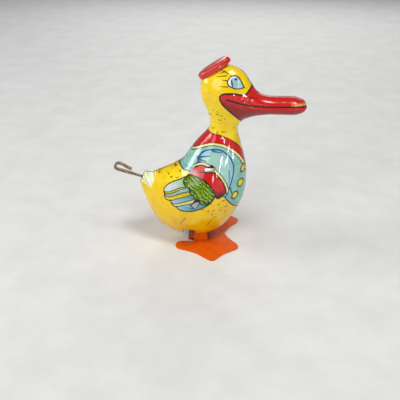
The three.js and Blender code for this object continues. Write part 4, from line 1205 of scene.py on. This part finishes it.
def make_spring(material):
    inner, outer, turns, steps = ARBOR_R + 0.3, 9.15, 4.25, 300
    line = []
    for i in range(steps + 1):
        share = i / steps
        angle = math.pi / 2 - 2 * math.pi * turns * (1 - share)
        radius = inner + (outer - inner) * share
        line.append((radius * math.cos(angle), radius * math.sin(angle)))
    hook = PILLARS[0][2] - outer
    for i in range(1, 15):
        angle = -math.pi / 2 - math.pi * i / 14
        line.append((hook * math.cos(angle), PILLARS[0][2] + hook * math.sin(angle)))
    start = PLATE_END_A + 0.6
    strip = ribbon("mainspring_strip", line, STRIP_T, start, start + STRIP_W, to_world)
    settle(strip, "mainspring", "duck", material)


def make_arbor(material):
    socket = WIRE_R + 0.06
    profile = [(0, 24.3), (socket, 24.3), (socket, 17.2), (ARBOR_R - 0.2, 17.2), (ARBOR_R, 17.4),
               (ARBOR_R, 27.4), (ARBOR_NOSE_R, 27.4), (ARBOR_NOSE_R, 30.3), (ARBOR_NOSE_R - 0.2, 30.5),
               (0, 30.5)]
    settle(motor_lathe("arbor_turned", profile), "arbor", "key_train", material)


# ------------------------------------------------------------------ plates and pillars
def make_rear_plate(material):
    outline = [(-11.3, -8.5), (-6.5, -13), (5, -13), (11, -9), (12.2, -4), (12.2, 4.5), (9, 9.5), (2.2, 12.6),
               (-2.2, 12.6), (-9, 8), (-11.3, 2), (-11.3, -8.5)]
    holes = [circle(0, 0, ARBOR_R + 0.15)]
    holes += [circle(*place, PIVOT_R + 0.15) for place in (SECOND_AT, KICK_AT)]
    holes += [circle(u, v, PIVOT_R + 0.12) for _, u, v in PILLARS]
    outline = rounded(outline, 1.2)[:-1]
    plate = sheet("rear_plate_stamped", outline, holes, REAR_PLATE_A, PLATE_END_A, to_world)
    settle(plate, "rear_plate", "duck", material)


HINGE_V = float((HINGE - KEY_ORIGIN) @ ABOVE)
HINGE_A = float((HINGE - KEY_ORIGIN) @ AHEAD)
EAR_Y = 8.3
CHEEK_Y = 6.25


def standing(points):
    """Local (ahead, up, across) in the motor's axes."""
    return to_world(points[:, [2, 1, 0]])


def make_front_plate(material):
    outline = [(-11.5, -9), (-7, -14), (7, -14), (11.5, -9), (12.5, 2), (12.5, 11), (9.5, 22), (9.5, 27.5),
               (-9.5, 27.5), (-9.5, 22), (-12.5, 11), (-12.5, 2)]
    holes = [
        circle(0, 0, ARBOR_NOSE_R + 0.15),
        circle(*SECOND_AT, PIVOT_R + 0.15),
        circle(*KICK_AT, SHAFT_R + 0.15),
        np.array([(-6, 15), (6, 15), (5, 23.5), (-5, 23.5)]),
    ]
    holes += [circle(u, v, PIVOT_R + 0.12) for _, u, v in PILLARS]
    end = FRONT_PLATE_A + SHEET_T
    parts = [sheet("plate", outline, holes, FRONT_PLATE_A, end, to_world, 0)]
    top, low, reach = -4.6, -10.8, HINGE_A + 2.3
    for side in (1, -1):
        shape = [(FRONT_PLATE_A, low), (reach - 1.5, low), (reach, low + 1.6), (reach, top - 1),
                 (reach - 1.2, top), (FRONT_PLATE_A, top)]
        near, far = sorted((side * EAR_Y, side * (EAR_Y + SHEET_T)))
        parts.append(sheet("ear", shape, [circle(HINGE_A, HINGE_V, PIN_R + 0.05)], near, far, standing, 0))
        for v, skin, *_ in TABS:
            near, far = sorted((side * 8, side * (skin + 0.5)))
            neck = [(near, v - TAB_HALF), (far, v - TAB_HALF), (far, v + TAB_HALF), (near, v + TAB_HALF)]
            parts.append(sheet("neck", neck, [], FRONT_PLATE_A, end, to_world, 0))
    plate = join_pieces("front_plate_stamped", parts)
    soften(plate, 0.06)
    flaps = [make_flap(side, *tab) for side in (1, -1) for tab in TABS]
    plate = join_pieces("front_plate_stamped", [plate, *flaps])
    shade(plate, 35)
    settle(plate, "front_plate", "duck", material)


def make_flap(side, v, skin, normal, lay, length):
    out = np.array([normal[0], side * normal[1], normal[2]])
    out /= np.linalg.norm(out)
    along = np.array(lay) - out * (np.array(lay) @ out)
    along /= np.linalg.norm(along)
    across = np.cross(out, along)
    bend = to_world(np.array([side * (skin + 0.42), v, FRONT_PLATE_A + SHEET_T / 2]))
    half = TAB_HALF - 0.1
    outline = rounded([(-0.1, -half), (length, -half), (length, half), (-0.1, half)], 0.5, 5)
    return sheet("flap", outline, [], -0.2, 0.2,
                 lambda p: bend + p[:, :1] * along + p[:, 1:2] * across + p[:, 2:3] * out, 0.09)


def make_pillars(material):
    for name, u, v in PILLARS:
        neck = PIVOT_R + 0.1
        profile = [(0, REAR_PLATE_A - 0.4), (neck, REAR_PLATE_A - 0.4), (neck, PLATE_END_A + 0.02),
                   (1.2, PLATE_END_A + 0.02), (1.2, FRONT_PLATE_A - 0.02), (neck, FRONT_PLATE_A - 0.02),
                   (neck, FRONT_PLATE_A + SHEET_T + 0.4), (0, FRONT_PLATE_A + SHEET_T + 0.4)]
        settle(motor_lathe(name + "_turned", profile, (u, v)), name, "duck", material)


# ------------------------------------------------------------------ gears
GEAR_MODULE = 0.5


def gear(name, teeth, tooth_at, bore, low, high, at, holes=()):
    """Straight-sided teeth; tooth_at is the direction of the middle of one tooth."""
    pitch = GEAR_MODULE * teeth / 2
    tip, root = pitch + 0.8 * GEAR_MODULE, pitch - 1.05 * GEAR_MODULE
    step = 2 * math.pi / teeth
    tooth = ((root, -0.3), (pitch, -0.22), (tip, -0.1), (tip, 0.1), (pitch, 0.22), (root, 0.3))
    outline = []
    for i in range(teeth):
        for radius, share in tooth:
            angle = tooth_at + step * (i + share)
            outline.append((at[0] + radius * math.cos(angle), at[1] + radius * math.sin(angle)))
    return sheet(name, outline, [circle(*at, bore), *holes], low, high, to_world, 0.04)


def make_gears(brass, steel):
    to_second = math.atan2(SECOND_AT[1], SECOND_AT[0])
    to_kick = math.atan2(KICK_AT[1] - SECOND_AT[1], KICK_AT[0] - SECOND_AT[0])
    half_pinion = math.pi / 8
    pin_hole = circle(0, CLICK_Y, CLICK_PIN_R + 0.03, 24)
    bore = SHAFT_R + 0.02
    main = gear("main_gear_cut", 32, to_second, ARBOR_R + 0.02, 25.0, 25.8, (0, 0), [pin_hole])
    settle(main, "main_gear", "key_train", brass)
    pinion = gear("second_pinion_cut", 8, to_second + math.pi + half_pinion, bore, 24.9, 26.2, SECOND_AT)
    settle(pinion, "second_pinion", "second_train", steel)
    second = gear("second_gear_cut", 24, to_kick, bore, 27.0, 27.6, SECOND_AT)
    settle(second, "second_gear", "second_train", brass)
    kick = gear("kick_pinion_cut", 8, to_kick + math.pi + half_pinion, bore, 26.7, 27.9, KICK_AT)
    settle(kick, "kick_pinion", "kick_train", steel)


CLICK_Y = 5.6
CLICK_PIN_R = 0.5
RATCHET_A = 26.0
RATCHET_T = 0.6


def make_ratchet(steel):
    outline = []
    for i in range(10):
        angle = math.pi / 2 + 2 * math.pi * i / 10
        outline.append((2.5 * math.cos(angle), 2.5 * math.sin(angle)))
        outline.append((3.3 * math.cos(angle + 0.19 * math.pi), 3.3 * math.sin(angle + 0.19 * math.pi)))
    end = RATCHET_A + RATCHET_T
    bore = circle(0, 0, ARBOR_R + 0.02)
    wheel = sheet("ratchet_wheel_cut", outline, [bore], RATCHET_A, end, to_world, 0.04)
    settle(wheel, "ratchet_wheel", "key_train", steel)
    shape = [(0.95, 0.5), (0.2, 0.9), (-0.6, 0.8), (-1.0, 0), (-0.75, -0.7), (0.35, -1.85),
             (0.75, -2.05), (0.95, -1.0)]
    shape = [(x, y + CLICK_Y) for x, y in shape]
    pin_hole = circle(0, CLICK_Y, CLICK_PIN_R + 0.03, 24)
    click = sheet("click_stamped", shape, [pin_hole], RATCHET_A, end, to_world, 0.05)
    settle(click, "click", "key_train", steel)
    pin = motor_lathe("click_pin_turned", [(0, 24.85), (CLICK_PIN_R, 24.85), (CLICK_PIN_R, 26.8), (0, 26.8)],
                      (0, CLICK_Y))
    settle(pin, "click_pin", "key_train", steel)


CAM_A = FRONT_PLATE_A + 1.4
CAM_W = 1.8
CAM_R = 3.8


def make_shafts(steel):
    start, step = REAR_PLATE_A - 0.4, PLATE_END_A + 0.2
    second = [(0, start), (PIVOT_R, start), (PIVOT_R, step), (SHAFT_R, step), (SHAFT_R, FRONT_PLATE_A - 0.2),
              (PIVOT_R, FRONT_PLATE_A - 0.2), (PIVOT_R, FRONT_PLATE_A + 1), (0, FRONT_PLATE_A + 1)]
    kick = [(0, start), (PIVOT_R, start), (PIVOT_R, step), (SHAFT_R, step), (SHAFT_R, CAM_A + CAM_W + 0.6),
            (0, CAM_A + CAM_W + 0.6)]
    shaft = motor_lathe("second_shaft_turned", second, SECOND_AT)
    settle(shaft, "second_shaft", "second_train", steel)
    shaft = motor_lathe("kick_shaft_turned", kick, KICK_AT)
    settle(shaft, "kick_shaft", "kick_train", steel)
    outline = []
    for angle in np.arange(96) * 2 * math.pi / 96:
        radius = CAM_R - 1 - math.cos(2 * angle)
        outline.append((KICK_AT[0] + radius * math.sin(angle), KICK_AT[1] - radius * math.cos(angle)))
    bore = circle(*KICK_AT, SHAFT_R + 0.02)
    cam = sheet("kick_cam_cut", outline, [bore], CAM_A, CAM_A + CAM_W, to_world, 0.08)
    settle(cam, "kick_cam", "kick_train", steel)


# ------------------------------------------------------------------ lever, rivets, axle and return spring
FINGER_V = KICK_AT[1] + CAM_R + 0.3
FINGER_A = FRONT_PLATE_A + SHEET_T + 0.8
WEB_A = 33.6


def lying(points):
    """Local (across, ahead, up) in the motor's axes."""
    return to_world(points[:, [0, 2, 1]])


def make_lever(material):
    rivet = np.array([RIVET[0], 0, RIVET[1]]) - KEY_ORIGIN
    ra, rv = float(rivet @ AHEAD), float(rivet @ ABOVE)
    ha, hv = HINGE_A, HINGE_V
    shape = [(WEB_A, FINGER_V + SHEET_T), (WEB_A, FINGER_V), (WEB_A + 1.2, FINGER_V - 1.6),
             (ra - 1.5, rv + 1.1), (ra - 1.7, rv - 0.4), (ra - 0.5, rv - 1.6), (ra + 1.3, rv - 1.0),
             (ha + 2.1, hv - 1.6), (ha + 2.4, hv + 0.4), (ha + 1.2, hv + 2.1),
             (ha - 1.2, FINGER_V + SHEET_T + 0.2)]
    holes = [circle(ha, hv, PIN_R + 0.1), circle(ra, rv, RIVET_R + 0.02)]
    parts = []
    for side in (1, -1):
        near, far = sorted((side * CHEEK_Y, side * (CHEEK_Y + SHEET_T)))
        parts.append(sheet("cheek", shape, holes, near, far, standing, 0))
    reach = CHEEK_Y + 0.1
    web = [(-reach, WEB_A), (reach, WEB_A), (reach, WEB_A + 2.4), (-reach, WEB_A + 2.4)]
    finger = [(-2, FINGER_A), (2, FINGER_A), (2, WEB_A + 0.5), (-2, WEB_A + 0.5)]
    for outline in (web, finger):
        parts.append(sheet("web", outline, [], FINGER_V, FINGER_V + SHEET_T, lying, 0))
    lever = join_pieces("kick_lever_stamped", parts)
    soften(lever, 0.06)
    shade(lever, 35)
    settle(lever, "kick_lever", "foot_assembly", material)


def make_pins(steel):
    inner, outer, head, head_r = CHEEK_Y, LEG_Y + SHEET_T, 0.35, RIVET_R + 0.4
    for node, side in (("rivet_left", 1), ("rivet_right", -1)):
        profile = [(0, inner - head), (head_r * 0.7, inner - head), (head_r, inner - 0.1), (head_r, inner),
                   (RIVET_R, inner), (RIVET_R, outer), (head_r, outer), (head_r, outer + 0.1),
                   (head_r * 0.7, outer + head), (0, outer + head)]
        place = lambda p, s=side: np.stack([RIVET[0] + p[:, 0], s * p[:, 2], RIVET[1] + p[:, 1]], 1)
        rivet = lathe(node + "_turned", profile, place, 40, 0.15)
        settle(rivet, node, "foot_assembly", steel)
    end, head_r = EAR_Y + SHEET_T + 0.05, 1.2
    profile = [(0, -end - 0.55), (head_r - 0.2, -end - 0.55), (head_r, -end - 0.3), (head_r, -end),
               (PIN_R, -end), (PIN_R, end), (head_r, end), (head_r, end + 0.3),
               (head_r - 0.2, end + 0.55), (0, end + 0.55)]
    axle = lathe("foot_axle_turned", profile, lambda p: HINGE + p[:, [0, 2, 1]], 48, 0.15)
    settle(axle, "foot_axle", "duck", steel)


def make_return_spring(material):
    coil_r, wire_r, turns, pitch, start = 1.35, 0.2, 4, 0.65, 1.5
    end = start + pitch * turns + 0.2
    lever_top = FINGER_V + SHEET_T + 0.35
    ends = [(start, 3.0, FINGER_A - 0.45), (start, 0.75, FINGER_A + 0.45), (start, -1.5, 32.4)]
    coil = []
    for i in range(turns * 24 + 6):
        angle = math.pi * 0.75 - math.pi * i / 12
        up, ahead = coil_r * math.sin(angle), coil_r * math.cos(angle)
        coil.append((start + pitch * i / 24, HINGE_V + up, HINGE_A + ahead))
    tail = [(end, lever_top, 36.0), (end, lever_top, 33.8)]
    path = smooth(ends + coil[:1], 6)[:-1].tolist() + coil + smooth([coil[-1]] + tail, 6)[1:].tolist()
    spring = wire("return_spring_coil", to_world(np.array(path)), wire_r, 14, 1, 3)
    settle(spring, "return_spring", "duck", material)


# ------------------------------------------------------------------ floor
def make_floor():
    corners = [(-900, -900, 0), (900, -900, 0), (900, 1500, 0), (-900, 1500, 0)]
    floor = make_object("floor", corners, [(0, 1, 2, 3)])
    paint = Paint("floor")
    where = paint.place()
    tone = speckle(paint, where, srgb(232, 232, 230), srgb(224, 224, 222), 0.05, 0.35, 0.65)
    normal = paint.bump(paint.noise(where, 1.5, 4), 0.03, 0.3)
    floor.data.materials.append(paint.finish(tone, 0.6, 0.0, normal))


make_camera()
make_light()
make_floor()
litho = litho_material()
tin = tin_inside_material()
stamped = metal_material("stamped_steel", srgb(202, 202, 198), srgb(150, 146, 138), 0.3, (500, 500, 2600))
turned_steel = metal_material("turned_steel", srgb(196, 194, 190), srgb(138, 132, 122), 0.26,
                              (2600, 2600, 600))
blued = metal_material("blued_spring_steel", srgb(84, 94, 112), srgb(58, 62, 74), 0.28,
                       (700, 700, 700), rust=0.7)
brass = metal_material("brass", srgb(208, 172, 92), srgb(158, 120, 58), 0.28,
                       (700, 700, 700), rust=0.66)
rusty = metal_material("rusty_wire", srgb(164, 140, 118), srgb(90, 62, 42), 0.44,
                       (900, 900, 900), rust=0.5)
for shell_node, shell_side in (("right_shell", -1), ("left_shell", 1)):
    make_shell(shell_node, shell_side, litho, tin)
make_cap(enamel_material("red_enamel", srgb(208, 14, 10), srgb(160, 4, 6), srgb(232, 116, 92),
                         0.3, 0.28, 0.6, 0.3))
make_feet(enamel_material("orange_enamel", srgb(226, 94, 0), srgb(208, 78, 0), srgb(222, 132, 60),
                          0.35, 0.5, 0.05, 0.15))
make_key(rusty)
make_arbor(turned_steel)
make_spring(blued)
make_rear_plate(stamped)
make_front_plate(stamped)
make_pillars(turned_steel)
make_gears(brass, turned_steel)
make_ratchet(turned_steel)
make_shafts(turned_steel)
make_lever(stamped)
make_pins(turned_steel)
make_return_spring(blued)
